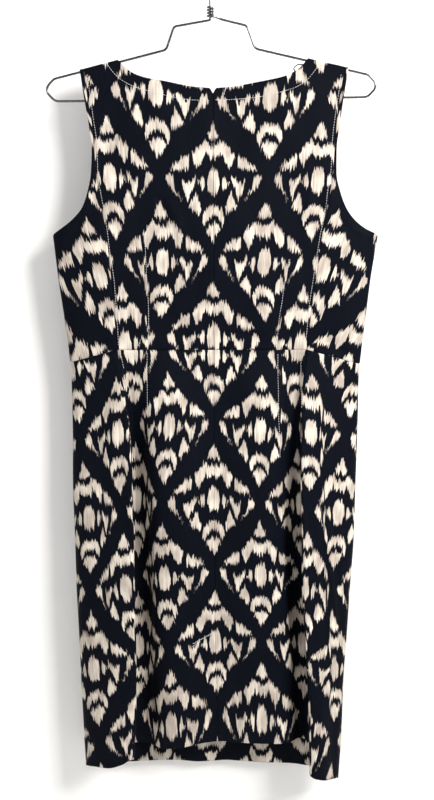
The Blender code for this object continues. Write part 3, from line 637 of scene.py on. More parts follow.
# ---- how the cloth lies -------------------------------------------------------------------------
# Creases, given one by one: x, z of both ends, half width, depth (a ridge is negative)
BACK_CREASES = (
    (-0.070, -0.326, -0.041, -0.395, 0.0050, 0.0030),
    (-0.060, -0.318, -0.028, -0.400, 0.0070, -0.0014),
    (-0.079, -0.375, -0.102, -0.425, 0.0070, 0.0016),
    (0.148, -0.285, 0.137, -0.392, 0.0050, 0.0026),
    (0.134, -0.290, 0.124, -0.400, 0.0060, -0.0012),
    (0.096, -0.415, 0.086, -0.480, 0.0050, 0.0014),
    (-0.150, -0.345, -0.196, -0.392, 0.0080, 0.0016),
    (0.160, -0.340, 0.200, -0.396, 0.0080, 0.0014),
    (-0.128, -0.500, -0.182, -0.528, 0.0070, 0.0012),
    (0.138, -0.505, 0.190, -0.545, 0.0070, 0.0014),
    (0.020, -0.500, 0.078, -0.524, 0.0060, 0.0010),
    (-0.072, -0.505, -0.012, -0.524, 0.0060, 0.0009),
    (0.1525, -0.590, 0.1565, -0.770, 0.0060, -0.0016),
    (0.1560, -0.740, 0.1660, -0.870, 0.0060, -0.0030),
    (0.1620, -0.830, 0.1780, -0.960, 0.0060, -0.0026),
    (0.1640, -0.740, 0.1750, -0.870, 0.0060, 0.0026),
    (0.1720, -0.830, 0.1860, -0.950, 0.0050, 0.0020),
    (-0.150, -0.585, -0.146, -0.800, 0.0140, 0.0014),
    (-0.160, -0.820, -0.150, -1.080, 0.0160, 0.0018),
    (-0.030, -0.610, -0.036, -0.860, 0.0170, -0.0016),
    (0.046, -0.640, 0.050, -0.960, 0.0180, -0.0016),
    (-0.040, -0.900, -0.046, -1.080, 0.0160, -0.0020),
    (0.078, -0.880, 0.080, -1.085, 0.0140, 0.0022),
    (-0.012, -0.900, -0.008, -1.080, 0.0120, 0.0016),
)
FRONT_CREASES = (
    (-0.090, -0.300, -0.055, -0.390, 0.0060, 0.0022),
    (0.100, -0.310, 0.066, -0.400, 0.0060, 0.0020),
    (-0.120, -0.470, -0.180, -0.520, 0.0080, 0.0018),
    (0.126, -0.478, 0.186, -0.535, 0.0080, 0.0016),
    (-0.080, -0.600, -0.088, -0.880, 0.0150, 0.0026),
    (0.074, -0.620, 0.086, -0.930, 0.0160, 0.0024),
    (-0.020, -0.720, -0.026, -1.090, 0.0150, -0.0024),
    (0.136, -0.760, 0.142, -1.080, 0.0130, -0.0022),
    (-0.140, -0.800, -0.136, -1.060, 0.0130, 0.0020),
)
# Broad unevenness: wavelength across and along, start, height
SWELLS = (
    (0.190, 0.430, 0.6, 0.00110),
    (0.083, -0.250, 2.1, 0.00055),
    (0.051, 0.170, 4.4, 0.00035),
    (-0.034, 0.110, 1.3, 0.00018),
)
SEAM_PULL, DART_PULL = 0.0007, 0.0006      # how far a seam or a dart is drawn in
SEAM_REACH = 0.0011
PUCKER = 0.00022
PUCKER_WAVE, DART_WAVE = 0.0085, 0.009
PUCKER_REACH, DART_REACH, PUCKER_START = 0.007, 0.006, 0.0012
HEM_STITCH, HEM_BAND = 0.038, 0.006        # the hem's blind stitches: how far up, over how wide a band
SIDE_CALM = 0.022          # creases fade out towards a side edge and below the shoulder's fold
SHOULDER_CALM, SHOULDER_FADE = 0.012, 0.03
DART_FADE = 0.03
FOLD_CALM = 0.9            # in section lines: creases stay off the skirt's deep folds


def creased(x, z, creases):
    """How far creases and swells move the cloth outwards."""
    out = np.zeros_like(x)
    for x0, z0, x1, z1, half_width, depth in creases:
        run = math.hypot(x1 - x0, z1 - z0)
        along = ((x - x0) * (x1 - x0) + (z - z0) * (z1 - z0)) / run ** 2
        off = ((x - x0) * (z1 - z0) - (z - z0) * (x1 - x0)) / run
        taper = np.sin(math.pi * np.clip(along, 0, 1)) ** 0.8
        out -= depth * taper * np.exp(-(off / half_width) ** 2)
    for across, along, start, height in SWELLS:
        out += height * np.sin(FULL_TURN * (x / across + z / along) + start)
    return out


def off_shoulder(x, z):
    """0 at the shoulder's fold, 1 well below it."""
    return ease((shoulder_height(x) - SHOULDER_CALM - z) / SHOULDER_FADE)


def puckers(d, reach):
    """How strongly a seam puckers at a distance from it."""
    return np.exp(-d / reach) * (1 - np.exp(-(d / PUCKER_START) ** 2))


def settled(places, front, seams, dart=None, calm=None):
    """Places with creases, unevenness and drawn-in seams, and the ways out of them.

    seams names the sewn edges: "first" and "last" columns, "waist" (row 0), "hem" (last row, turned up).
    dart is its column, the height of its tip, and 1 or -1 where it widens downwards or upwards.
    """
    way = outward(places, front)
    x, z = places[..., 0], places[..., 2]
    amount = creased(x, z, FRONT_CREASES if front else BACK_CREASES)
    amount *= ease(np.abs(nearer_edge(x, z) - x) / SIDE_CALM)
    amount *= off_shoulder(x, z) if z.max() > WAIST else 1.0
    if calm is not None:
        amount *= calm
    across, down = lengths(places, 1), lengths(places, 0)
    away = {"first": across, "last": across[:, -1:] - across, "waist": down, "hem": down[-1:] - down}
    travel = {"first": down, "last": down, "waist": across, "hem": across}
    for name in seams:
        d, along = away[name], travel[name]
        waves = np.sin(FULL_TURN * along / PUCKER_WAVE + 1.7 * np.sin(along / 0.021))
        if name == "hem":
            amount += PUCKER * 1.6 * waves * np.exp(-((d - HEM_STITCH) / HEM_BAND) ** 2)
            continue
        amount -= SEAM_PULL * np.exp(-(d / SEAM_REACH) ** 2)
        amount += PUCKER * waves * puckers(d, PUCKER_REACH)
    if dart is not None:
        column, tip, direction = dart
        d = np.abs(across - across[:, column:column + 1])
        reach = ease(direction * (tip - z) / DART_FADE)
        amount -= DART_PULL * np.exp(-(d / SEAM_REACH) ** 2) * reach
        amount += PUCKER * np.sin(FULL_TURN * down / DART_WAVE) * puckers(d, DART_REACH) * reach
    return places + way * amount[..., None], way


# ---- where the print lies on each panel ---------------------------------------------------------
# For each named line of a back panel, its places in the print at the levels: across, then along.
# All of it is in mm. Two lines that share a column are the two sides of a dart.
BODICE_LEVELS = (-158, -235, -305, -380, -440, -490, -540)
SKIRT_LEVELS = (-528, -600, -680, -765, -850, -935, -1020, -1110)
PRINT = {
    "centre_back_bodice_left": (
        ((-174, -164, -163, -160, -160, -158, -157), (-65, 6, 78, 152, 206, 252, 298)),
        ((-120, -112, -110, -102, -108, -110, -114), (-50, 15, 78, 148, 207, 259, 310)),
        ((-120, -112, -110, -102, -98, -93, -89), (-50, 15, 78, 148, 207, 259, 310)),
        ((0, 0, 0, 0, 0, 0, 0), (-76, 1, 71, 147, 210, 263, 316)),
    ),
    "centre_back_bodice_right": (
        ((177, 165, 165, 162, 163, 158, 154), (-68, 1, 74, 149, 204, 249, 294)),
        ((119, 111, 109, 110, 114, 111, 110), (-60, 7, 75, 148, 206, 256, 306)),
        ((119, 111, 109, 110, 108, 96, 85), (-60, 7, 75, 148, 206, 256, 306)),
        ((0, 0, 0, 0, 0, 0, 0), (-77, 1, 72, 148, 209, 261, 313)),
    ),
    "side_back_bodice_left": (
        ((-259, -264, -273, -277, -287, -300, -307), (-75, -1, 64, 132, 180, 203, 227)),
        ((-179, -184, -192, -196, -204, -210, -220), (-89, -16, 51, 126, 191, 243, 296)),
    ),
    "side_back_bodice_right": (
        ((266, 271, 281, 284, 290, 298, 309), (-68, 0, 60, 126, 178, 219, 263)),
        ((186, 191, 201, 205, 212, 218, 230), (-69, 4, 69, 139, 200, 244, 295)),
    ),
    "centre_back_skirt_left": (
        ((-162, -160, -176, -192, -203, -206, -208, -208), (284, 356, 435, 519, 603, 686, 771, 861)),
        ((-156, -152, -150, -152, -151, -147, -144, -141), (284, 357, 434, 520, 601, 686, 772, 861)),
        ((-142, -139, -134, -130, -132, -132, -130, -128), (281, 358, 438, 521, 603, 689, 776, 860)),
        ((-120, -118, -98, -84, -89, -93, -92, -93), (276, 355, 438, 520, 605, 688, 767, 848)),
        ((-94, -112, -98, -84, -89, -93, -92, -93), (276, 355, 438, 520, 605, 688, 767, 848)),
        ((0, 0, 0, 0, 0, 0, 0, 0), (277, 358, 441, 529, 614, 703, 789, 857)),
    ),
    "centre_back_skirt_right": (
        ((0, 0, 0, 0, 0, 0, 0, 0), (275, 357, 441, 529, 614, 704, 788, 852)),
        ((101, 108, 112, 110, 115, 119, 123, 128), (274, 348, 429, 520, 612, 701, 780, 859)),
        ((121, 119, 112, 110, 115, 119, 123, 128), (276, 350, 429, 520, 612, 701, 780, 859)),
        ((137, 138, 128, 119, 124, 129, 134, 140), (283, 353, 429, 517, 607, 694, 776, 858)),
        ((146, 149, 144, 137, 138, 142, 147, 152), (286, 355, 431, 515, 602, 687, 770, 856)),
        ((155, 163, 170, 175, 184, 192, 199, 205), (289, 357, 432, 515, 602, 686, 768, 855)),
    ),
    "side_back_skirt_left": (
        ((-301, -294, -285, -287, -286, -296, -306, -310), (253, 329, 411, 497, 583, 662, 744, 824)),
        ((-214, -205, -196, -201, -206, -220, -234, -248), (273, 349, 433, 511, 598, 684, 770, 857)),
    ),
    "side_back_skirt_right": (
        ((211, 203, 204, 209, 218, 226, 240, 253), (278, 351, 432, 512, 596, 675, 756, 831)),
        ((286, 281, 287, 290, 295, 300, 313, 329), (266, 339, 416, 505, 585, 656, 748, 836)),
    ),
}


# Where no table says it: a height in mm, the print's row there, and how much print a mm of cloth takes
PRINT_ON_BODICE, PRINT_ON_SKIRT = (-235, 0, 1.012), (-660, 417, 1.007)
LEVELS_BELOW = 80          # a table is carried on by this many mm below its last level
SIDE_REACH = 0.080         # a side panel's two lines lie this far apart over the cloth
# Print lost in a lengthwise crease of a side panel: over how wide a place, then height, x, width lost
LOST = {
    "side_back_skirt_left": (0.026, (
        (-0.540, -0.150, 0.0), (-0.600, -0.146, 0.006), (-0.680, -0.144, 0.014), (-0.765, -0.142, 0.020),
        (-0.850, -0.140, 0.018), (-0.900, -0.140, 0.012), (-0.960, -0.142, 0.003), (-1.030, -0.142, 0.0))),
    "side_back_skirt_right": (0.005, (
        (-0.540, 0.1470, 0.004), (-0.596, 0.1490, 0.014), (-0.640, 0.1498, 0.020), (-0.757, 0.1520, 0.027),
        (-0.837, 0.1580, 0.028), (-0.886, 0.1607, 0.027), (-0.928, 0.1647, 0.024), (-0.985, 0.1673, 0.016),
        (-1.030, 0.1660, 0.007), (-1.080, 0.1660, 0.0))),
}


def lost_print(name, x, z):
    """How far a crease moves the print beyond it on, across."""
    width, rows = LOST[name]
    side = -1 if name.endswith("left") else 1
    return side * smooth(rows, 2, z) * ease(side * (x - smooth(rows, 1, z)) / width + 0.5)


def print_row(height, known):
    """The print's row in mm at a height in mm, from a known one."""
    level, row, rate = known
    return row + (level - height) * rate


def carried_on(heights, values):
    """A table's column with one more row, straight on below its last."""
    slope = (values[-1] - values[-2]) / (heights[-1] - heights[-2])
    return tuple(zip((*heights, heights[-1] - LEVELS_BELOW), (*values, values[-1] - LEVELS_BELOW * slope)))


def laid(heights, lines, columns, z, across, sewn_to=None):
    """Places in the print (across, along), in metres, for the faces' corners of a panel.

    sewn_to is the column where a side panel joins its neighbour, from which its places are taken.
    Returns a list of (first column, last column, values).
    """
    spans = []
    named = list(zip(columns, lines))
    for (c0, l0), (c1, l1) in zip(named, named[1:]):
        if c1 <= c0:
            continue
        part = slice(c0, c1 + 1)
        t = across[:, part] - across[:, c0:c0 + 1]
        t = t / t[:, -1:]
        if sewn_to is not None:
            out = np.abs(across - across[:, sewn_to:sewn_to + 1]) / SIDE_REACH
            t = out if sewn_to == 0 else 1 - out
        zz = z[:, part] * 1000
        value = []
        for k in (0, 1):
            a = smooth(carried_on(heights, l0[k]), 1, zz)
            b = smooth(carried_on(heights, l1[k]), 1, zz)
            value.append((a + (b - a) * t) / 1000)
        spans.append((c0, c1, np.stack(value, axis=-1)))
    return spans


# ---- making meshes ------------------------------------------------------------------------------
def new_mesh(name, points, quads, materials, which=None, corner_places=None, smooth_shaded=True):
    mesh = bpy.data.meshes.new(name)
    count = len(quads)
    mesh.vertices.add(len(points))
    mesh.vertices.foreach_set("co", np.ascontiguousarray(points, np.float32).ravel())
    mesh.loops.add(count * 4)
    mesh.loops.foreach_set("vertex_index", np.ascontiguousarray(quads, np.int32).ravel())
    mesh.polygons.add(count)
    mesh.polygons.foreach_set("loop_start", np.arange(0, count * 4, 4, dtype=np.int32))
    for found in materials:
        mesh.materials.append(found)
    if which is not None:
        mesh.polygons.foreach_set("material_index", np.ascontiguousarray(which, np.int32))
    mesh.polygons.foreach_set("use_smooth", np.full(count, smooth_shaded))
    mesh.update(calc_edges=True)
    if corner_places is not None:
        layer = mesh.uv_layers.new(name="cloth_place")
        layer.data.foreach_set("uv", np.ascontiguousarray(corner_places, np.float32).ravel())
    mesh.validate()
    item = bpy.data.objects.new(name, mesh)
    bpy.context.scene.collection.objects.link(item)
    return item


def grid_quads(rows, cols):
    """The numbers of a grid's points, and its faces."""
    number = np.arange(rows * cols).reshape(rows, cols)
    return number, np.stack((number[:-1, :-1], number[:-1, 1:], number[1:, 1:], number[1:, :-1]), axis=-1)


def cloth_piece(name, outer, way, spans, materials, thickness=CLOTH, flip=False):
    """A thin closed wall of cloth, its right side first, its reverse second."""
    rows, cols = outer.shape[:2]
    inner = outer - way * thickness
    points = np.concatenate((outer.reshape(-1, 3), inner.reshape(-1, 3)))
    number, quad = grid_quads(rows, cols)
    a, b, c, _ = points[quad[rows // 2, cols // 2]]
    turned = (np.cross(b - a, c - b) @ way[rows // 2, cols // 2]) < 0
    at = np.zeros((rows - 1, cols - 1, 4, 2))
    for c0, c1, value in spans:
        at[:, c0:c1, 0], at[:, c0:c1, 1] = value[:-1, :-1], value[:-1, 1:]
        at[:, c0:c1, 2], at[:, c0:c1, 3] = value[1:, 1:], value[1:, :-1]
    face, back = quad.reshape(-1, 4), quad.reshape(-1, 4) + rows * cols
    face_at, back_at = at.reshape(-1, 4, 2), at.reshape(-1, 4, 2)
    loop = np.concatenate((number[0, :-1], number[:-1, -1], number[-1, :0:-1], number[:0:-1, 0]))
    edge_at = np.concatenate((at[0, :, 0], at[:, -1, 1], at[-1, ::-1, 2], at[::-1, 0, 3]))
    ahead, ahead_at = np.roll(loop, -1), np.roll(edge_at, -1, axis=0)
    rim = np.stack((loop, loop + rows * cols, ahead + rows * cols, ahead), axis=-1)
    rim_at = np.stack((edge_at, edge_at, ahead_at, ahead_at), axis=1)
    if turned:
        face, face_at, rim, rim_at = face[:, ::-1], face_at[:, ::-1], rim[:, ::-1], rim_at[:, ::-1]
    else:
        back, back_at = back[:, ::-1], back_at[:, ::-1]
    which = np.concatenate((np.zeros(len(face)), np.ones(len(back)), np.zeros(len(rim))))
    return new_mesh(name, points, np.concatenate((face, back, rim)), materials,
                    1 - which if flip else which, np.concatenate((face_at, back_at, rim_at)))


WIRE_SIDES, WIRE_PRINT = 16, 0.01      # the wire's facets, and how wide its surface is in its material


def swept(name, path, radius, materials):
    """A round wire with flat ends along a path of points."""
    along = np.gradient(path, axis=0)
    along /= np.linalg.norm(along, axis=1, keepdims=True)
    across = np.cross(along[0], (0.0, 1.0, 0.0))
    turn = (FULL_TURN * np.arange(WIRE_SIDES) / WIRE_SIDES)[:, None]
    rings = []
    for point, direction in zip(path, along):
        across = across - direction * (across @ direction)
        across /= np.linalg.norm(across)
        rings.append(point + radius * (np.cos(turn) * across + np.sin(turn) * np.cross(direction, across)))
    number = np.arange(len(path) * WIRE_SIDES).reshape(len(path), WIRE_SIDES)
    after = np.roll(number, -1, axis=1)
    quads = np.stack((number[:-1], after[:-1], after[1:], number[1:]), axis=-1).reshape(-1, 4)
    round_it, gone = np.arange(WIRE_SIDES), travelled(path)[:, None]
    at = np.stack([
        np.stack(np.broadcast_arrays((round_it + more) / WIRE_SIDES * WIRE_PRINT, reached), -1)
        for more, reached in ((0, gone[:-1]), (1, gone[:-1]), (1, gone[1:]), (0, gone[1:]))], axis=2)
    caps = [(ring[0], ring[k + 2], ring[k + 1], ring[k])
            for ring in (number[0], number[-1, ::-1]) for k in range(1, WIRE_SIDES - 2, 2)]
    quads = np.concatenate((quads, np.array(caps)))
    at = np.concatenate((at.reshape(-1, 4, 2), np.zeros((len(caps), 4, 2))))
    return new_mesh(name, np.array(rings).reshape(-1, 3), quads, materials, None, at)


def flowing(points, step):
    """Even points along a smooth curve through the given ones."""
    p = np.asarray(points, float)
    p = np.vstack((2 * p[0] - p[1], p, 2 * p[-1] - p[-2]))
    out = []
    for i in range(1, len(p) - 2):
        a, b, c, d = p[i - 1:i + 3]
        ta, tb, tc = (max(np.linalg.norm(q - r), 1e-7) ** 0.5 for q, r in ((b, a), (c, b), (d, c)))
        m1 = (c - b) + tb * ((b - a) / ta - (c - a) / (ta + tb))
        m2 = (c - b) + tb * ((d - c) / tc - (d - b) / (tb + tc))
        out += [bridged(b, c, u, 1.0, m1, m2) for u in np.linspace(0, 1, 24, endpoint=False)]
    out = np.array([*out, p[-2]])
    along = travelled(out)
    even = np.linspace(0, along[-1], max(int(along[-1] / step) + 1, 2))
    return np.stack([np.interp(even, along, out[:, k]) for k in range(out.shape[1])], axis=-1)


# ---- materials ----------------------------------------------------------------------------------
class Tree:
    """Short words for building a node tree. A number or a socket may stand for any input."""

    def __init__(self, tree):
        self.tree = tree

    def put(self, socket, value):
        if isinstance(value, bpy.types.NodeSocket):
            self.tree.links.new(value, socket)
        else:
            socket.default_value = value

    def fill(self, inputs, values):
        for name, value in values.items():
            self.put(inputs[name], value)

    def node(self, kind, values=(), **settings):
        made = self.tree.nodes.new(kind)
        for name, value in settings.items():
            setattr(made, name, value)
        self.fill(made.inputs, values if isinstance(values, dict) else dict(enumerate(values)))
        return made

    def math(self, operation, *values):
        return self.node("ShaderNodeMath", values, operation=operation).outputs[0]

    def add(self, first, second):
        return self.math("ADD", first, second)

    def less(self, first, second):
        return self.math("SUBTRACT", first, second)

    def times(self, first, second):
        return self.math("MULTIPLY", first, second)

    def over(self, first, second):
        return self.math("DIVIDE", first, second)

    def times_plus(self, first, second, third):
        return self.math("MULTIPLY_ADD", first, second, third)

    def spread(self, value, low, high, to_low=0.0, to_high=1.0, kind="LINEAR"):
        made = self.node("ShaderNodeMapRange", (value, low, high, to_low, to_high), interpolation_type=kind)
        return made.outputs[0]

    def mixed(self, share, first, second):
        """Two colours mixed, each given as red, green and blue or as a socket."""
        made = self.node("ShaderNodeMix", {"Factor": share}, data_type="RGBA")
        for number, color in ((6, first), (7, second)):
            self.put(made.inputs[number], color if isinstance(color, bpy.types.NodeSocket) else (*color, 1))
        return made.outputs[2]

    def noise(self, x, y, z, detail=1.0):
        at = self.node("ShaderNodeCombineXYZ", (x, y, z)).outputs[0]
        return self.node("ShaderNodeTexNoise", {"Vector": at, "Scale": 1.0, "Detail": detail}).outputs[0]

    def bumped(self, height, strength, distance):
        """A surface's normal that follows a height. The distance is in metres."""
        values = {"Height": height, "Strength": strength, "Distance": distance}
        return self.node("ShaderNodeBump", values).outputs[0]

    def group(self, which, **values):
        made = self.node("ShaderNodeGroup", node_tree=which)
        self.fill(made.inputs, values)
        return made.outputs


def new_group(name, inputs, outputs):
    tree = bpy.data.node_groups.new(name, "ShaderNodeTree")
    for word, start in inputs.items():
        tree.interface.new_socket(word, in_out="INPUT", socket_type="NodeSocketFloat").default_value = start
    for word in outputs:
        tree.interface.new_socket(word, in_out="OUTPUT", socket_type="NodeSocketFloat")
    return Tree(tree), tree.nodes.new("NodeGroupInput").outputs, tree.nodes.new("NodeGroupOutput").inputs


DYE_SPREAD = 1.8           # how far the navy runs into the cream, mm
NONE = (90.0, 70.0)        # a band that is shut: its upper edge below its lower one
# The motif's cream bands, in mm: distance from its middle, then the band's upper and lower edge
TIP = (
    (0, -0.5, 24.2), (2.4, 3.6, 24.0), (4.8, 8.2, 23.2), (6.6, 11.2, 22.4), (8.2, 13.8, 21.4),
    (9.6, 16.4, 20.2), (10.6, 20, 16),
)
ROOF = (
    (0, 31.4, 48.4), (2.4, 31.2, 48.6), (5, 30.2, 49.2), (7.4, 29.0, 48.5), (9.4, 27.4, 46),
    (11.0, 25.8, 43), (12.4, 25.0, 44.5), (14, 25.4, 47), (15.5, 26.6, 50.6), (18, 29.4, 55),
    (21.5, 33, 62.9), (23.9, 35.3, 61.2), (26.3, 38.2, 55.3), (28.3, 40.2, 49.5), (29.4, 42.5, 45),
    (29.9, 52, 40), (32.6, 52, 40), (33.1, 44.5, 64), (35.9, 46, 63.7), (38.9, 48.5, 64.6),
    (41.3, 47.6, 65.3), (43.7, 47.5, 65.5), (46, 53, 65.7), (49, 53.5, 66), (51.4, 55.3, 66.3),
    (55, 59.4, 66.8), (58, 63.4, 67), (59.5, 68, 64),
)
OVAL = (
    (0, 60.0, 96.6), (2.4, 60.0, 96.8), (4.4, 60.8, 96.2), (6, 62.6, 95), (7.2, 65.2, 93), (8.2, 69.2, 90),
    (9.0, 75.0, 86), (9.4, 80, 82), (9.8, *NONE), (12.4, *NONE), (13.0, 75, 89), (14.2, 70.8, 91.1),
    (16.1, 69.6, 89.4), (17.9, 72.0, 87), (18.8, 76.0, 84.7), (19.4, 79, 83), (20.9, 77.2, 83.8),
    (22.7, 77.2, 81.6), (23.6, 79.5, 79.5), (24, 85, 75), (24.5, 71, 80), (26.3, 71.6, 84),
    (28.1, 73.2, 87.6), (30.5, 76.4, 91.6), (32, 78.0, 95.6), (33.5, 79.0, 100), (34.9, 79.6, 104),
    (36.5, 80.0, 102.8), (38.3, 79.8, 99), (40, 78.6, 94.2), (41.3, 76.6, 89.2), (42.6, 75, 83),
    (43.4, *NONE),
)
EYE = (
    (41, *NONE), (41.5, 102.3, 105.3), (44, 99.6, 103.9), (47, 94.9, 100.2), (50, 90.2, 96.4),
    (52, 86.0, 94.0), (53.5, 77.6, 92.4), (54.5, 72.3, 90.9), (58, 70, 88.8), (61, 70.6, 86.0),
    (63.5, 73.1, 81.4), (65, 77.6, 77),
)
ARCH = (
    (0, 109.2, 124.0), (2.4, 109.2, 124.2), (5, 109.8, 125.2), (7.2, 110.4, 126.8), (9, 111.2, 129.0),
    (10.4, 112.2, 131.2), (11.6, 113.4, 133.8), (12.6, 114.8, 136.6), (13.4, 116, 137.4),
    (14.4, 117.6, 136.4), (15.2, 120, 133.6), (16, 123.5, 130), (16.4, 127, 127), (16.7, 135, 100),
    (17.6, 112, 116), (19.1, 105.8, 122.4), (20.9, 101.1, 122.2), (22.7, 96.4, 120.2), (24.8, 92.3, 118.4),
    (26.3, 95.8, 117.6), (28.7, 99.6, 116.2), (30.5, 102.8, 114.8), (32.3, 105.8, 113.4),
    (34.5, 109.2, 111.6), (35.4, 120, 100),
)
DROP = (
    (0, 131.4, 157), (1.8, 131.5, 155), (3.6, 131.9, 152.2), (6, 132.4, 148.8), (8, 134.0, 145.8),
    (10, 136.4, 143.2), (11.6, 139, 141.2), (12.8, 142, 139),
)


# The print's unevenness: across and along in mm, where in the noise it is taken, detail
COARSE, FINE, BROAD, PATCHY = (2.3, 60.0, 3.1, 1.5), (1.05, 30.0, 8.4), (14.0, 25.0, 5.7), (3.4, 30.0, 12.7)
DRAWN_COARSE, DRAWN_FINE, DRAWN_ASIDE = 13.0, 17.0, 2.4            # how far it draws the edges, mm
TONE_COARSE, TONE_FINE, TONE_BROAD = 0.29, 0.25, 0.46              # what it adds to the cream's tone
THREAD_WIDTH, FLOAT_LENGTH, SLUB = 0.34, 1.7, 9.0                  # the sateen's threads, mm


def printed_motifs():
    """Where the cream shows: half-drop rows of one motif, its edges drawn out along the threads."""
    tree, given, result = new_group(
        "ikat print", {"Across": 0.0, "Along": 0.0, "Bleed": 1.6, "Streak": 1.0}, ("Cream", "Tone"))
    across, along = given["Across"], given["Along"]
    width, drop = REPEAT_ACROSS * 1000, REPEAT_ALONG * 1000
    half, length = MOTIF_HALF_WIDTH * 1000, MOTIF_LENGTH * 1000

    def uneven(wide, long, *rest):
        return tree.noise(tree.over(across, wide), tree.over(along, long), *rest)

    coarse, fine, broad = uneven(*COARSE), uneven(*FINE), uneven(*BROAD)
    drawn = tree.add(tree.times(tree.less(coarse, 0.5), DRAWN_COARSE),
                     tree.times(tree.less(fine, 0.5), DRAWN_FINE))
    shifted = tree.times_plus(drawn, given["Streak"], along)
    aside = tree.times_plus(tree.less(broad, 0.5), DRAWN_ASIDE, across)

    def cell(right, down):
        u = tree.math("ABSOLUTE", tree.math("WRAP", tree.add(aside, right), width / 2, -width / 2))
        v = tree.math("WRAP", tree.add(shifted, down), length / 2 + drop / 2, length / 2 - drop / 2)
        off_middle = tree.math("ABSOLUTE", tree.less(v, length / 2))
        return u, v, tree.add(tree.over(u, half), tree.over(off_middle, length / 2))

    u0, v0, far0 = cell(0.0, 0.0)
    u1, v1, far1 = cell(width / 2, drop / 2)
    second = tree.math("LESS_THAN", far1, far0)

    def chosen(first, other):
        return tree.times_plus(tree.less(other, first), second, first)

    place = tree.over(chosen(u0, u1), half)
    height = chosen(v0, v1)

    def edge(band, column):
        made = tree.node("ShaderNodeFloatCurve", {"Value": place})
        points = made.mapping.curves[0].points
        while len(points) < len(band):
            points.new(0.5, 0.5)
        for point, row in zip(points, band):
            point.location = (row[0] / half, row[column] / length)
            point.handle_type = "VECTOR"
        made.mapping.update()
        return tree.times(made.outputs[0], length)

    inside = None
    for band in (TIP, ROOF, OVAL, EYE, ARCH, DROP):
        depth = tree.math("MINIMUM", tree.less(height, edge(band, 1)), tree.less(edge(band, 2), height))
        inside = depth if inside is None else tree.math("MAXIMUM", inside, depth)
    soft = tree.times(given["Bleed"], tree.spread(uneven(*PATCHY), 0.36, 0.64, 0.5, 2.3))
    cream = tree.spread(inside, tree.less(DYE_SPREAD, soft), tree.add(DYE_SPREAD, soft), kind="SMOOTHSTEP")
    streaks = tree.add(tree.times(coarse, TONE_COARSE), tree.times(fine, TONE_FINE))
    tree.fill(result, {"Cream": cream, "Tone": tree.times_plus(broad, TONE_BROAD, streaks)})
    return tree.tree


def woven_threads():
    """Fine sateen: long floats along the cloth, stepped from thread to thread."""
    tree, given, result = new_group("sateen threads", {"Across": 0.0, "Along": 0.0}, ("Height", "Tone"))
    across, along = given["Across"], given["Along"]
    thread = tree.over(across, THREAD_WIDTH)
    slub = tree.noise(thread, tree.over(along, SLUB), 1.3)
    step = tree.times(tree.math("FLOOR", thread), 0.4)
    floats = tree.math("SINE", tree.times(tree.add(tree.over(along, FLOAT_LENGTH), step), FULL_TURN))
    rounded_off = tree.math("ABSOLUTE", tree.math("SINE", tree.times(thread, FULL_TURN / 2)))
    height = tree.times_plus(slub, 0.5, tree.times_plus(floats, 0.22, rounded_off))
    tree.fill(result, {"Height": height, "Tone": slub})
    return tree.tree


def new_material(name):
    """A material, its tree, its shader's inputs, and the place in the print in mm."""
    made = bpy.data.materials.new(name)
    made.use_nodes = True
    tree = Tree(made.node_tree)
    at = tree.node("ShaderNodeUVMap", uv_map="cloth_place").outputs[0]
    across, along = (tree.times(part, 1000.0)
                     for part in tree.node("ShaderNodeSeparateXYZ", (at,)).outputs[:2])
    return made, tree, made.node_tree.nodes["Principled BSDF"].inputs, across, along


def printed_cloth(name, cream, warm, brown, navy, worn, bleed, sheen):
    """The ikat. Cream runs from cream to warm, brown is its fringe, and navy from navy to worn."""
    made, tree, shader, across, along = new_material(name)
    figure = tree.group(MOTIFS, Across=across, Along=along, Bleed=bleed)
    weave = tree.group(THREADS, Across=across, Along=along)
    light = tree.mixed(tree.spread(figure["Tone"], 0.38, 0.59), cream, warm)
    dark = tree.mixed(tree.spread(weave["Tone"], 0.3, 0.7), navy, worn)
    fringe = tree.mixed(figure["Cream"], brown, light)
    rough = tree.spread(figure["Cream"], 0.0, 1.0, 0.62, 0.80)
    tree.fill(shader, {
        "Base Color": tree.mixed(figure["Cream"], dark, fringe),
        "Roughness": tree.times_plus(tree.less(weave["Tone"], 0.5), 0.16, rough),
        "Specular IOR Level": 0.035,
        "Sheen Weight": sheen,
        "Sheen Roughness": 0.45,
        "Sheen Tint": (0.62, 0.66, 0.85, 1),
        "Normal": tree.bumped(weave["Height"], 0.25, 0.00010),
    })
    return made


def stitch_thread():
    """Pale grey twisted thread."""
    made, tree, shader, across, along = new_material("topstitch thread")
    twist = tree.math("SINE", tree.add(tree.times(along, 9.0), tree.times(across, 0.628)))
    tone = tree.noise(tree.over(along, 3.0), across, 2.2)
    tree.fill(shader, {
        "Base Color": tree.mixed(tone, (0.48, 0.455, 0.47), (0.68, 0.64, 0.61)),
        "Roughness": tree.spread(twist, -1, 1, 0.5, 0.7),
        "Sheen Weight": 0.2,
        "Normal": tree.bumped(twist, 0.3, 0.00008),
    })
    return made


def ribbed_tape(name, light, dark, rib):
    """Woven tape or ribbon with fine ribs across it."""
    made, tree, shader, across, along = new_material(name)
    weave = tree.group(THREADS, Across=across, Along=along)
    ribs = tree.math("SINE", tree.times(along, FULL_TURN / rib))
    tree.fill(shader, {
        "Base Color": tree.mixed(weave["Tone"], dark, light),
        "Roughness": tree.spread(weave["Tone"], 0.3, 0.7, 0.5, 0.75),
        "Specular IOR Level": 0.25,
        "Normal": tree.bumped(tree.times_plus(ribs, 0.5, weave["Height"]), 0.4, 0.0001),
    })
    return made


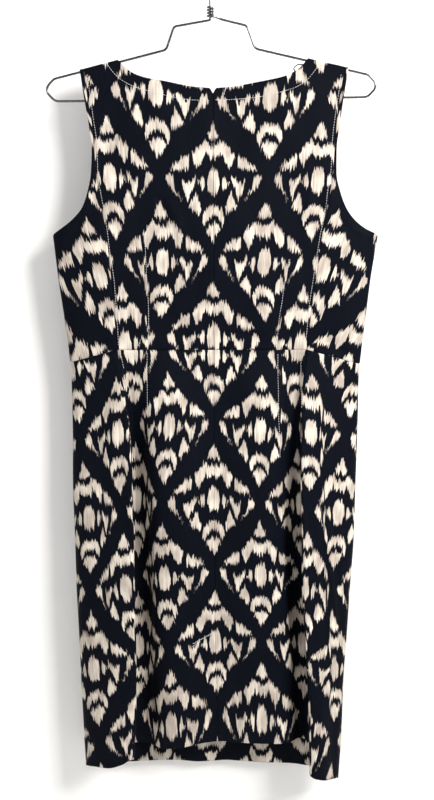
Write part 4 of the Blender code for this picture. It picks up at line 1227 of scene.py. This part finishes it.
def chrome_wire():
    """Drawn steel wire, chromed: bright, with faint lengthwise draw marks and dull specks."""
    made, tree, shader, across, along = new_material("chrome wire")
    marks = tree.noise(tree.times(across, 0.9), tree.over(along, 26.0), 4.2, 2.0)
    specks = tree.noise(tree.times(across, 0.6), tree.over(along, 2.4), 9.1, 2.0)
    tree.fill(shader, {
        "Base Color": tree.mixed(specks, (0.10, 0.103, 0.11), (0.25, 0.255, 0.265)),
        "Roughness": tree.spread(specks, 0.3, 0.75, 0.14, 0.34),
        "Metallic": 1.0,
        "Normal": tree.bumped(marks, 0.12, 0.0001),
    })
    return made


def studio_paper():
    """Pale matt backdrop, seen from its front only."""
    made = bpy.data.materials.new("studio paper")
    made.use_nodes = True
    tree, nodes = Tree(made.node_tree), made.node_tree.nodes
    at = tree.node("ShaderNodeTexCoord").outputs["Object"]
    grain = tree.node("ShaderNodeTexNoise", {"Vector": at, "Scale": 240.0, "Detail": 3.0}).outputs[0]
    shader = nodes["Principled BSDF"]
    tree.fill(shader.inputs, {
        "Base Color": tree.mixed(grain, (0.93, 0.92, 0.895), (0.96, 0.95, 0.925)),
        "Roughness": tree.spread(grain, 0.3, 0.7, 0.85, 0.95),
        "Specular IOR Level": 0.1,
    })
    clear = tree.node("ShaderNodeBsdfTransparent").outputs[0]
    behind = tree.node("ShaderNodeNewGeometry").outputs["Backfacing"]
    chosen = tree.node("ShaderNodeMixShader", (behind, shader.outputs[0], clear)).outputs[0]
    tree.put(nodes["Material Output"].inputs["Surface"], chosen)
    return made


MOTIFS, THREADS = printed_motifs(), woven_threads()
SATEEN = printed_cloth(
    "printed sateen", cream=(0.70, 0.635, 0.54), warm=(0.39, 0.33, 0.28), brown=(0.25, 0.18, 0.165),
    navy=(0.0020, 0.0028, 0.0056), worn=(0.0036, 0.0048, 0.0088), bleed=0.9, sheen=0.003)
REVERSE = printed_cloth(
    "sateen reverse", cream=(0.46, 0.42, 0.37), warm=(0.36, 0.33, 0.30), brown=(0.20, 0.17, 0.16),
    navy=(0.035, 0.037, 0.055), worn=(0.05, 0.052, 0.07), bleed=3.0, sheen=0.03)
STITCH_THREAD = stitch_thread()
ZIP_TAPE = ribbed_tape("zip tape weave", (0.020, 0.021, 0.035), (0.010, 0.011, 0.018), 0.9)
RIBBON = ribbed_tape("loop ribbon", (0.016, 0.017, 0.028), (0.008, 0.009, 0.015), 0.7)
CHROME = chrome_wire()
PAPER = studio_paper()
CLOTH_SIDES = (SATEEN, REVERSE)


# ---- cloth pieces -------------------------------------------------------------------------------
cloth = {}                 # panel: places of its outer face


def plain_table(name, grid, columns):
    """Heights and lines for the front, in place of a PRINT entry: true lengths from its middle."""
    across, middle_x = lengths(grid, 1), centre_x(-0.3)
    heights = list(np.linspace(grid[..., 2].max(), grid[..., 2].min(), 7) * 1000)
    known = PRINT_ON_BODICE if "bodice" in name else PRINT_ON_SKIRT
    lines = []
    for c in columns:
        rows = [int(np.argmin(np.abs(grid[:, c, 2] * 1000 - h))) for h in heights]
        middles = [int(np.argmin(np.abs(grid[r, :, 0] - middle_x))) for r in rows]
        lines.append(([(across[r, c] - across[r, m]) * 1000 for r, m in zip(rows, middles)],
                      [print_row(h, known) for h in heights]))
    return heights, lines


def hand_over(piece, node, outer, flat):
    """State what a cloth piece rides and replaces. The flat argument is not used."""
    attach(piece, "root")
    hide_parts(node)
    across, down = outer[:-1, 1:] - outer[:-1, :-1], outer[1:, :-1] - outer[:-1, :-1]
    drawn = float(np.linalg.norm(np.cross(down, across), axis=-1).sum())


def add_panel(name, grid, columns, seams, flat, front=False, dart=None, calm=None):
    """One of the dress's panels. columns are those of its named lines in PRINT."""
    outer, way = settled(grid, front, seams, dart, calm)
    levels = BODICE_LEVELS if "bodice" in name else SKIRT_LEVELS
    heights, lines = (levels, PRINT[name]) if name in PRINT else plain_table(name, grid, columns)
    sewn_to = None
    if name.startswith("side"):
        sewn_to = 0 if name == "side_back_skirt_right" else columns[-1]
    spans = laid(heights, lines, columns, grid[..., 2], lengths(grid, 1), sewn_to)
    if name in LOST:
        spans[0][2][..., 0] += lost_print(name, grid[..., 0], grid[..., 2])
    piece = cloth_piece(name + "_cloth", outer, way, spans, CLOTH_SIDES)
    hand_over(piece, name, outer, flat)
    cloth[name] = outer


def wire_path():
    """The hanger's one wire: hook, shank, left arm, bar, right arm, and the turns round the shank."""
    radius = HOOK_INNER_RADIUS + WIRE
    turn = np.radians(np.arange(HOOK_TIP_ANGLE, HOOK_LEAVE_ANGLE - 1, -5.0))
    points = [(radius * math.cos(a), 0.0, -HOOK_INNER_RADIUS + radius * math.sin(a)) for a in turn]
    leave, foot = np.array(points[-1]), np.array((0.0, 0.0, SHANK_TOP))
    away = np.array((math.sin(turn[-1]), 0.0, -math.cos(turn[-1])))
    first, second = leave + away * STEM_PULL, foot + np.array((0.0, 0.0, STEM_PULL))
    for u in np.linspace(0, 1, 11)[1:]:
        points.append(tuple(leave * (1 - u) ** 3 + first * 3 * u * (1 - u) ** 2
                            + second * 3 * u * u * (1 - u) + foot * u ** 3))
    points += [(0.0, 0.0, z) for z in np.linspace(SHANK_TOP - 0.008, SHANK_END, 5)]
    corners = [(0.0, SHANK_END, 0.0), (0.0, SHANK_END - 0.0028, 0.0022)]
    corners += [(*tilted(-out, z), bend) for _, out, z, bend in HANGER_HALF[:-1]]
    corners += [(*tilted(out, z), bend) for _, out, z, bend in HANGER_HALF[-2::-1]]
    corners += [(0.0135, RIGHT_ARM_START - 0.0022, 0.0)]
    points += [(x, 0.0, z) for x, z in rounded(corners)][1:]
    low = RIGHT_ARM_START + 0.0006      # here the wire starts to wind, after two points beside the shank
    points += [(0.0085, -0.0012, low - 0.0008), (0.0045, -0.0028, low - 0.0002)]
    for i in range(int(COIL_TURNS * COIL_POINTS) + 1):
        angle = -math.pi / 2 - FULL_TURN * i / COIL_POINTS
        points.append((COIL_RADIUS * math.cos(angle), COIL_RADIUS * math.sin(angle),
                       low + COIL_PITCH * i / COIL_POINTS))
    return points


def rounded(corners):
    """A path (x, z) through corners given as x, z, radius, its bends rounded."""
    path = []
    for i, (x, z, radius) in enumerate(corners):
        here = np.array((x, z))
        if radius <= 0 or i in (0, len(corners) - 1):
            path.append(here)
            continue
        before, after = np.array(corners[i - 1][:2]) - here, np.array(corners[i + 1][:2]) - here
        before_way, after_way = before / np.linalg.norm(before), after / np.linalg.norm(after)
        half = math.acos(float(np.clip(before_way @ after_way, -1, 1))) / 2
        reach = min(radius / math.tan(half), 0.48 * np.linalg.norm(before), 0.48 * np.linalg.norm(after))
        bend = reach * math.tan(half)
        between = before_way + after_way
        centre = here + between / np.linalg.norm(between) * bend / math.sin(half)
        start, end = here + before_way * reach - centre, here + after_way * reach - centre
        a0 = math.atan2(start[1], start[0])
        sweep = (math.atan2(end[1], end[0]) - a0 + math.pi) % FULL_TURN - math.pi
        for u in np.linspace(0, 1, 9):
            angle = a0 + sweep * u
            path.append(centre + bend * np.array((math.cos(angle), math.sin(angle))))
    return [tuple(p) for p in path]


hanger = swept("hanger_wire", flowing(wire_path(), 0.0011), WIRE, [CHROME])
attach(hanger, "root")
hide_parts("hanger_hook", "hanger_arm_left", "hanger_arm_right", "hanger_bar", "hanger_coil")

for side, hand in ((-1, "left"), (1, "right")):
    name = "centre_back_bodice_" + hand
    grid, dart_column = centre_back_bodice(side)
    add_panel(name, grid, (0, dart_column, dart_column, grid.shape[1] - 1), ("first", "last", "waist"),
              (0.200, 0.405), dart=(dart_column, DART_TIPS[name][0], 1))
    grid = side_back_bodice(side)
    add_panel("side_back_bodice_" + hand, grid, (0, grid.shape[1] - 1), ("last", "waist"),
              (0.110, 0.440))
grid = front_bodice()
middle, last = grid.shape[1] // 2, grid.shape[1] - 1
add_panel("front_bodice", grid, (0, middle, middle, last), ("waist",), (0.500, 0.440),
          front=True)

line = BACK_LINES.index
# Back skirt: name, its section lines, sewn edges, flat size, dart's column, height of its tip, direction
SKIRT_BACKS = (
    ("side_back_skirt_left", ("side_left", "fold_left"), ("last", "waist", "hem"), (0.110, 0.640), None),
    ("centre_back_skirt_left", ("fold_left", "foot_left", "step_left", "ridge_left", "ridge_left", "centre"),
     ("first", "last", "waist", "hem"), (0.215, 0.625), (3, -0.622, -1)),
    ("centre_back_skirt_right",
     ("centre", "ridge_right", "ridge_right", "step_right", "foot_right", "fold_right"),
     ("first", "last", "waist", "hem"), (0.215, 0.625), (1, -0.680, -1)),
    ("side_back_skirt_right", ("fold_right", "side_right"), ("first", "waist", "hem"), (0.110, 0.650), None),
)
for name, stops, seams, flat, dart in SKIRT_BACKS:
    hand = "left" if name.endswith("left") else "right"
    grid, columns, places = skirt_panel([line(stop) for stop in stops], dart=dart and dart[0])
    calm = 1 - np.exp(-(np.abs(places - line("fold_" + hand)) / FOLD_CALM) ** 2)
    add_panel(name, grid, columns, seams, flat,
              dart=dart and (columns[dart[0]], *dart[1:]), calm=calm)
last = len(FRONT_SHARES) - 1.0
grid, (left, middle, right), _ = skirt_panel([0.0, last / 2, last], True, step=FRONT_SKIRT_STEP)
add_panel("front_skirt", grid, (left, middle, middle, right), ("waist", "hem"), (0.480, 0.650),
          front=True)

# ---- small cloth pieces inside the dress --------------------------------------------------------
ZIP_TOP, ZIP_END, ZIP_HALF_WIDTH, ZIP_THICK = -0.1965, -0.640, 0.0110, 0.0006
LIGHT_CLOTH = 0.0008       # thickness of the turn-up and the underlap
# How far behind the outer face they hang
TURN_UP_BEHIND, UNDERLAP_BEHIND, ZIP_BEHIND = 0.0013, 0.0014, 0.0022
VENT_TOP, VENT_LAP, VENT_STEM = -0.930, 0.034, 0.008
UNDERLAP_RISE = 0.002      # how much shorter the underlap is than the hem
UNDERLAP_SHIFT = 0.004     # how far its print lies aside
TURN_UP = 0.040
TURN_UP_RISE = 0.0006
TURN_UP_SHIFT = -0.051     # how far its print lies along
CENTRE = line("centre")
RIBBON_WIDTH, RIBBON_THICK = 0.0028, 0.0012


def beside_centre(offset, z):
    """Section places near the centre line, offset metres to its right."""
    middle = skirt_plan(CENTRE, z)[..., 0]
    ridge_left, ridge_right = skirt_plan(CENTRE - 1, z)[..., 0], skirt_plan(CENTRE + 1, z)[..., 0]
    return CENTRE + np.where(offset < 0, -offset / (ridge_left - middle), offset / (ridge_right - middle))


def skirt_row(z):
    """The print's row in metres at a height of the skirt, where no table says it."""
    return print_row(z * 1000, PRINT_ON_SKIRT) / 1000


def inner_cloth(node, grid, places, behind, thickness, flat,
                sides=CLOTH_SIDES, turned_up=False):
    """A small piece behind the back's outer face, or turned up behind the front's, right side inwards."""
    way = outward(grid, turned_up)
    x, z = grid[..., 0], grid[..., 2]
    lift = creased(x, z, FRONT_CREASES if turned_up else BACK_CREASES) * off_shoulder(x, z)
    outer = grid + way * (lift - behind)[..., None]
    spans = [(0, grid.shape[1] - 1, np.stack(places, axis=-1))]
    piece = cloth_piece(node + "_cloth", outer, way, spans, sides, thickness, turned_up)
    hand_over(piece, node, outer, flat)


# The front's hem allowance
s, v = np.meshgrid(np.linspace(3.0, len(FRONT_SHARES) - 4.0, 110), np.linspace(0, 1, 15))
hem, turned = hem_height(s, True), TURN_UP * (1 - v)
grid = at_heights(skirt_plan(s, hem + TURN_UP_RISE + turned, True), hem + TURN_UP_RISE + turned)
inner_cloth("front_hem_turn_up", grid, (grid[..., 0], skirt_row(hem) + TURN_UP_SHIFT + turned),
            TURN_UP_BEHIND, LIGHT_CLOTH, (0.365, 0.040), turned_up=True)

# The right half's extension, under the left half below the vent's stitching
offset, v = np.meshgrid(np.linspace(-VENT_LAP, VENT_STEM, 16), np.linspace(0, 1, 50))
z = (1 - v) * VENT_TOP + v * (hem_height(CENTRE) + UNDERLAP_RISE)
grid = at_heights(skirt_plan(beside_centre(offset, z), z), z)
inner_cloth("back_vent_underlap", grid, (offset - UNDERLAP_SHIFT, skirt_row(z)),
            UNDERLAP_BEHIND, LIGHT_CLOTH, (0.045, 0.165))

# The tape of the closed zip, behind the centre seam
offset, z = np.meshgrid(np.linspace(-ZIP_HALF_WIDTH, ZIP_HALF_WIDTH, 9),
                        np.linspace(ZIP_TOP, ZIP_END, 130))
low = np.minimum(z, WAIST)
grid = np.where((z >= WAIST)[..., None], on_bodice(centre_x(z) + offset, z),
                at_heights(skirt_plan(beside_centre(offset, low), low), z))
inner_cloth("zip_tape", grid, (offset, -z), ZIP_BEHIND, ZIP_THICK, (0.022, 0.444),
            (ZIP_TAPE, ZIP_TAPE))

# Narrow ribbon bent back on itself under the right strap
corners = ((0.1300, -0.1602, 0.0), (0.1145, -0.1592, 0.004), (0.1078, -0.1650, 0.005),
           (0.1135, -0.1700, 0.004), (0.1300, -0.1698, 0.0))
track = flowing([(x, 0.0, z) for x, z in rounded(corners)], 0.0006)
front_face = float(bodice_depth(0.130, -0.160, True)) - RIBBON_THICK - 3 * GAP
run = np.gradient(track, axis=0)
run /= np.linalg.norm(run, axis=1, keepdims=True)
widths = np.linspace(0.0, RIBBON_WIDTH, 6)
grid = np.stack([track + (0.0, front_face - across, 0.0) for across in widths[::-1]], axis=1)
way = np.broadcast_to(np.cross(run, (0.0, 1.0, 0.0))[:, None], grid.shape)
along = lengths(grid, 0)
places = np.stack((np.broadcast_to(widths, along.shape), along), -1)
ribbon = cloth_piece("hanging_loop_ribbon", grid + way * RIBBON_THICK / 2, way,
                     [(0, len(widths) - 1, places)], (RIBBON, RIBBON), RIBBON_THICK)
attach(ribbon, "root")
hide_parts("hanging_loop")

# ---- topstitching -------------------------------------------------------------------------------
THREAD_RADIUS, THREAD_SIDES, THREAD_RINGS = 0.00034, 6, 6
STITCH, STITCH_GAP = 0.0025, 0.0009
PITCH = STITCH + STITCH_GAP
STITCH_WANDER = 0.000144   # how far a stitch strays from its line
PATH_STEP = 0.0002
# Lines of stitches as x, z points in mm
STITCH_LINES = {
    "neck_left": ((-136, -157), (-130, -166), (-122, -175), (-111, -183), (-93, -191), (-77, -195),
                  (-59, -200), (-33, -205), (1, -207)),
    "neck_right": ((6, -206), (34, -205), (69, -201), (91, -196), (113, -189), (127, -179), (143, -159)),
    "princess_left": ((-161, -172), (-158, -193), (-155, -213), (-152, -235), (-148, -265), (-147, -308),
                      (-144, -325), (-140, -345), (-136, -372), (-132, -405), (-128, -433), (-126, -458),
                      (-124, -492), (-122.5, -528)),
    "princess_right": ((171, -172), (168, -193), (164, -222), (160, -252), (158, -298), (154, -322),
                       (151, -351), (145, -378), (140, -412), (136, -439), (132, -468), (129, -501),
                       (126.5, -528)),
    "dart_left": ((-87, -383), (-86, -395), (-84, -433), (-82, -479), (-82, -511), (-83, -529)),
    "dart_right": ((104, -411), (100, -432), (95, -467), (92, -485), (90, -509), (88, -529)),
    "skirt_dart_left": ((-84.5, -536), (-84.5, -582), (-84.5, -620)),
    "skirt_dart_right": ((90, -537), (90.5, -585), (91.5, -625), (93, -654), (93.5, -678)),
    "skirt_princess_left": ((-119.5, -540), (-116, -557)),
    "skirt_princess_right": ((121, -538), (122.2, -612)),
    "vent": ((4.5, -922), (-26, -939.5)),
    "vent_second": ((3.5, -923.6), (-25, -940.2)),
    "vent_return": ((-26, -943), (-12, -935)),
}


def surface_of(panels):
    """The outer faces of settled panels, for laying stitches on."""
    points, faces = [], []
    for outer in panels:
        quads = grid_quads(*outer.shape[:2])[1].reshape(-1, 4) + len(points)
        points += outer.reshape(-1, 3).tolist()
        faces += quads.tolist()
    return BVHTree.FromPolygons(points, faces)


BACK_SURFACE = surface_of([outer for name, outer in cloth.items() if "back" in name])


def on_back(x, z):
    """Place on the back's outer face straight in from the viewer's side, and the way out of it."""
    place, normal, _, _ = BACK_SURFACE.ray_cast(Vector((x, -0.5, z)), Vector((0, 1, 0)))
    if place is None:
        return None, None
    normal = np.array(normal)
    return np.array(place), normal if normal[1] < 0 else -normal


def stitch_rings(a, b, c, way):
    """Rings of points round a thread that dips into the cloth at a and c and lies on it at b."""
    along = (c - a) / np.linalg.norm(c - a)
    side = np.cross(along, way)
    side /= np.linalg.norm(side)
    for u in np.linspace(0, 1, THREAD_RINGS):
        swell = math.sin(math.pi * (0.12 + 0.76 * u)) ** 0.5
        rise = THREAD_RADIUS * (1.15 * math.sin(math.pi * u) ** 0.7 - 0.35)
        middle = a * (1 - u) ** 2 + (2 * b - (a + c) / 2) * 2 * u * (1 - u) + c * u * u + way * rise
        for t in range(THREAD_SIDES):
            turn = FULL_TURN * t / THREAD_SIDES
            yield middle + THREAD_RADIUS * swell * (math.cos(turn) * side + math.sin(turn) * way)


def stitches(name, rows):
    """Short threads along lines of x, z points. They are a little uneven in place and length."""
    points, quads, at = [], [], []
    for number, row in enumerate(rows):
        path = flowing([(x / 1000, 0.0, z / 1000) for x, z in row], PATH_STEP)
        for k in range(int(len(path) * PATH_STEP / PITCH)):
            aside = STITCH_WANDER * math.sin(12.9 * k + number)
            start = (k + 0.5 * STITCH_GAP / STITCH + 0.06 * math.sin(7.7 * k + 2 * number)) * PITCH
            found = [path[min(int((start + share * STITCH) / PATH_STEP), len(path) - 1)]
                     for share in (0.0, 0.5, 1.0)]
            (a, _), (b, way), (c, _) = [on_back(p[0] + aside, p[2]) for p in found]
            if a is None or b is None or c is None or np.linalg.norm(a - c) > 1.6 * STITCH:
                continue
            base = len(points)
            points += stitch_rings(a, b, c, way)
            for r in range(THREAD_RINGS - 1):
                v0, v1 = (k + r / THREAD_RINGS) * PITCH, (k + (r + 1) / THREAD_RINGS) * PITCH
                for t in range(THREAD_SIDES):
                    a0, a1 = base + r * THREAD_SIDES + t, base + r * THREAD_SIDES + (t + 1) % THREAD_SIDES
                    quads.append((a0, a1, a1 + THREAD_SIDES, a0 + THREAD_SIDES))
                    at.append(((t / 6000, v0), ((t + 1) / 6000, v0), ((t + 1) / 6000, v1), (t / 6000, v1)))
            end = base + (THREAD_RINGS - 1) * THREAD_SIDES
            for first, order in ((base, (3, 2, 1, 0)), (base, (5, 4, 3, 0)), (end, (0, 1, 2, 3)),
                                 (end, (0, 3, 4, 5))):
                quads.append(tuple(first + o for o in order))
                at.append(((0, 0),) * 4)
    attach(new_mesh(name, points, quads, [STITCH_THREAD], None, np.array(at)), "root")


for name, keys in (
    ("topstitching_neck", ("neck_left", "neck_right")),
    ("topstitching_princess_left", ("princess_left", "skirt_princess_left")),
    ("topstitching_princess_right", ("princess_right", "skirt_princess_right")),
    ("topstitching_darts", ("dart_left", "dart_right", "skirt_dart_left", "skirt_dart_right")),
    ("topstitching_vent", ("vent", "vent_second", "vent_return")),
):
    stitches(name, [STITCH_LINES[key] for key in keys])

# ---- camera, light and backdrop -----------------------------------------------------------------
CAMERA_PLACE, CAMERA_PITCH, LENS = (0.00884, -1.48717, -0.40615), 82.5, 49.63      # 90 looks level
# name, place, aimed at, width, watts, colour, spread
LIGHTS = (
    ("key light", (1.20, -1.38, 0.45), (0.05, 0.0, -0.56), 0.75, 14.5, (1.0, 0.99, 0.975), 85),
    ("fill light", (-1.45, -1.85, -0.1), (0.0, 0.0, -0.4), 1.5, 11.0, (0.98, 0.985, 1.0), 180),
    ("top light", (0.2, -0.9, 1.5), (0.0, 0.05, -0.5), 1.2, 5.0, (1.0, 1.0, 1.0), 180),
)
SKY_COLOR, SKY_LIGHT, SKY_IN_GLOSS = (0.96, 0.965, 1.0, 1), 0.47, 0.14
WALL_BEHIND, WALL_TOP, FLOOR_LEVEL, BOARD_REACH = 0.050, 2.6, -1.5, 4

scene = bpy.context.scene
camera_data = bpy.data.cameras.new("camera")
camera_data.sensor_width, camera_data.lens = 36, LENS
camera_data.clip_start, camera_data.clip_end = 0.05, 20
camera = bpy.data.objects.new("camera", camera_data)
camera.location = CAMERA_PLACE
camera.rotation_euler = (math.radians(CAMERA_PITCH), 0, 0)
scene.collection.objects.link(camera)
scene.camera = camera

for name, place, aim, width, watts, color, spread in LIGHTS:
    data = bpy.data.lights.new(name, "AREA")
    data.size, data.energy, data.color, data.spread = width, watts, color, math.radians(spread)
    lamp = bpy.data.objects.new(name, data)
    lamp.location = place
    lamp.rotation_euler = (Vector(aim) - Vector(place)).to_track_quat("-Z", "Y").to_euler()
    scene.collection.objects.link(lamp)

scene.world = bpy.data.worlds.new("studio")
scene.world.use_nodes = True
world = Tree(scene.world.node_tree)
gloss = world.node("ShaderNodeLightPath").outputs["Is Glossy Ray"]
world.fill(scene.world.node_tree.nodes["Background"].inputs,
           {"Color": SKY_COLOR, "Strength": world.spread(gloss, 0.0, 1.0, SKY_LIGHT, SKY_IN_GLOSS)})
scene.view_settings.view_transform = "Standard"


def board(name, near, far):
    """A flat board between two level edges, each given as its y and z."""
    corners = [(x, *edge) for x, edge in ((-BOARD_REACH, near), (BOARD_REACH, near),
                                          (BOARD_REACH, far), (-BOARD_REACH, far))]
    return new_mesh(name, corners, [(0, 1, 2, 3)], [PAPER], smooth_shaded=False)


backdrop = board("backdrop", (WALL_BEHIND, FLOOR_LEVEL), (WALL_BEHIND, WALL_TOP))
floor = board("floor", (-BOARD_REACH, FLOOR_LEVEL), (WALL_BEHIND, FLOOR_LEVEL))
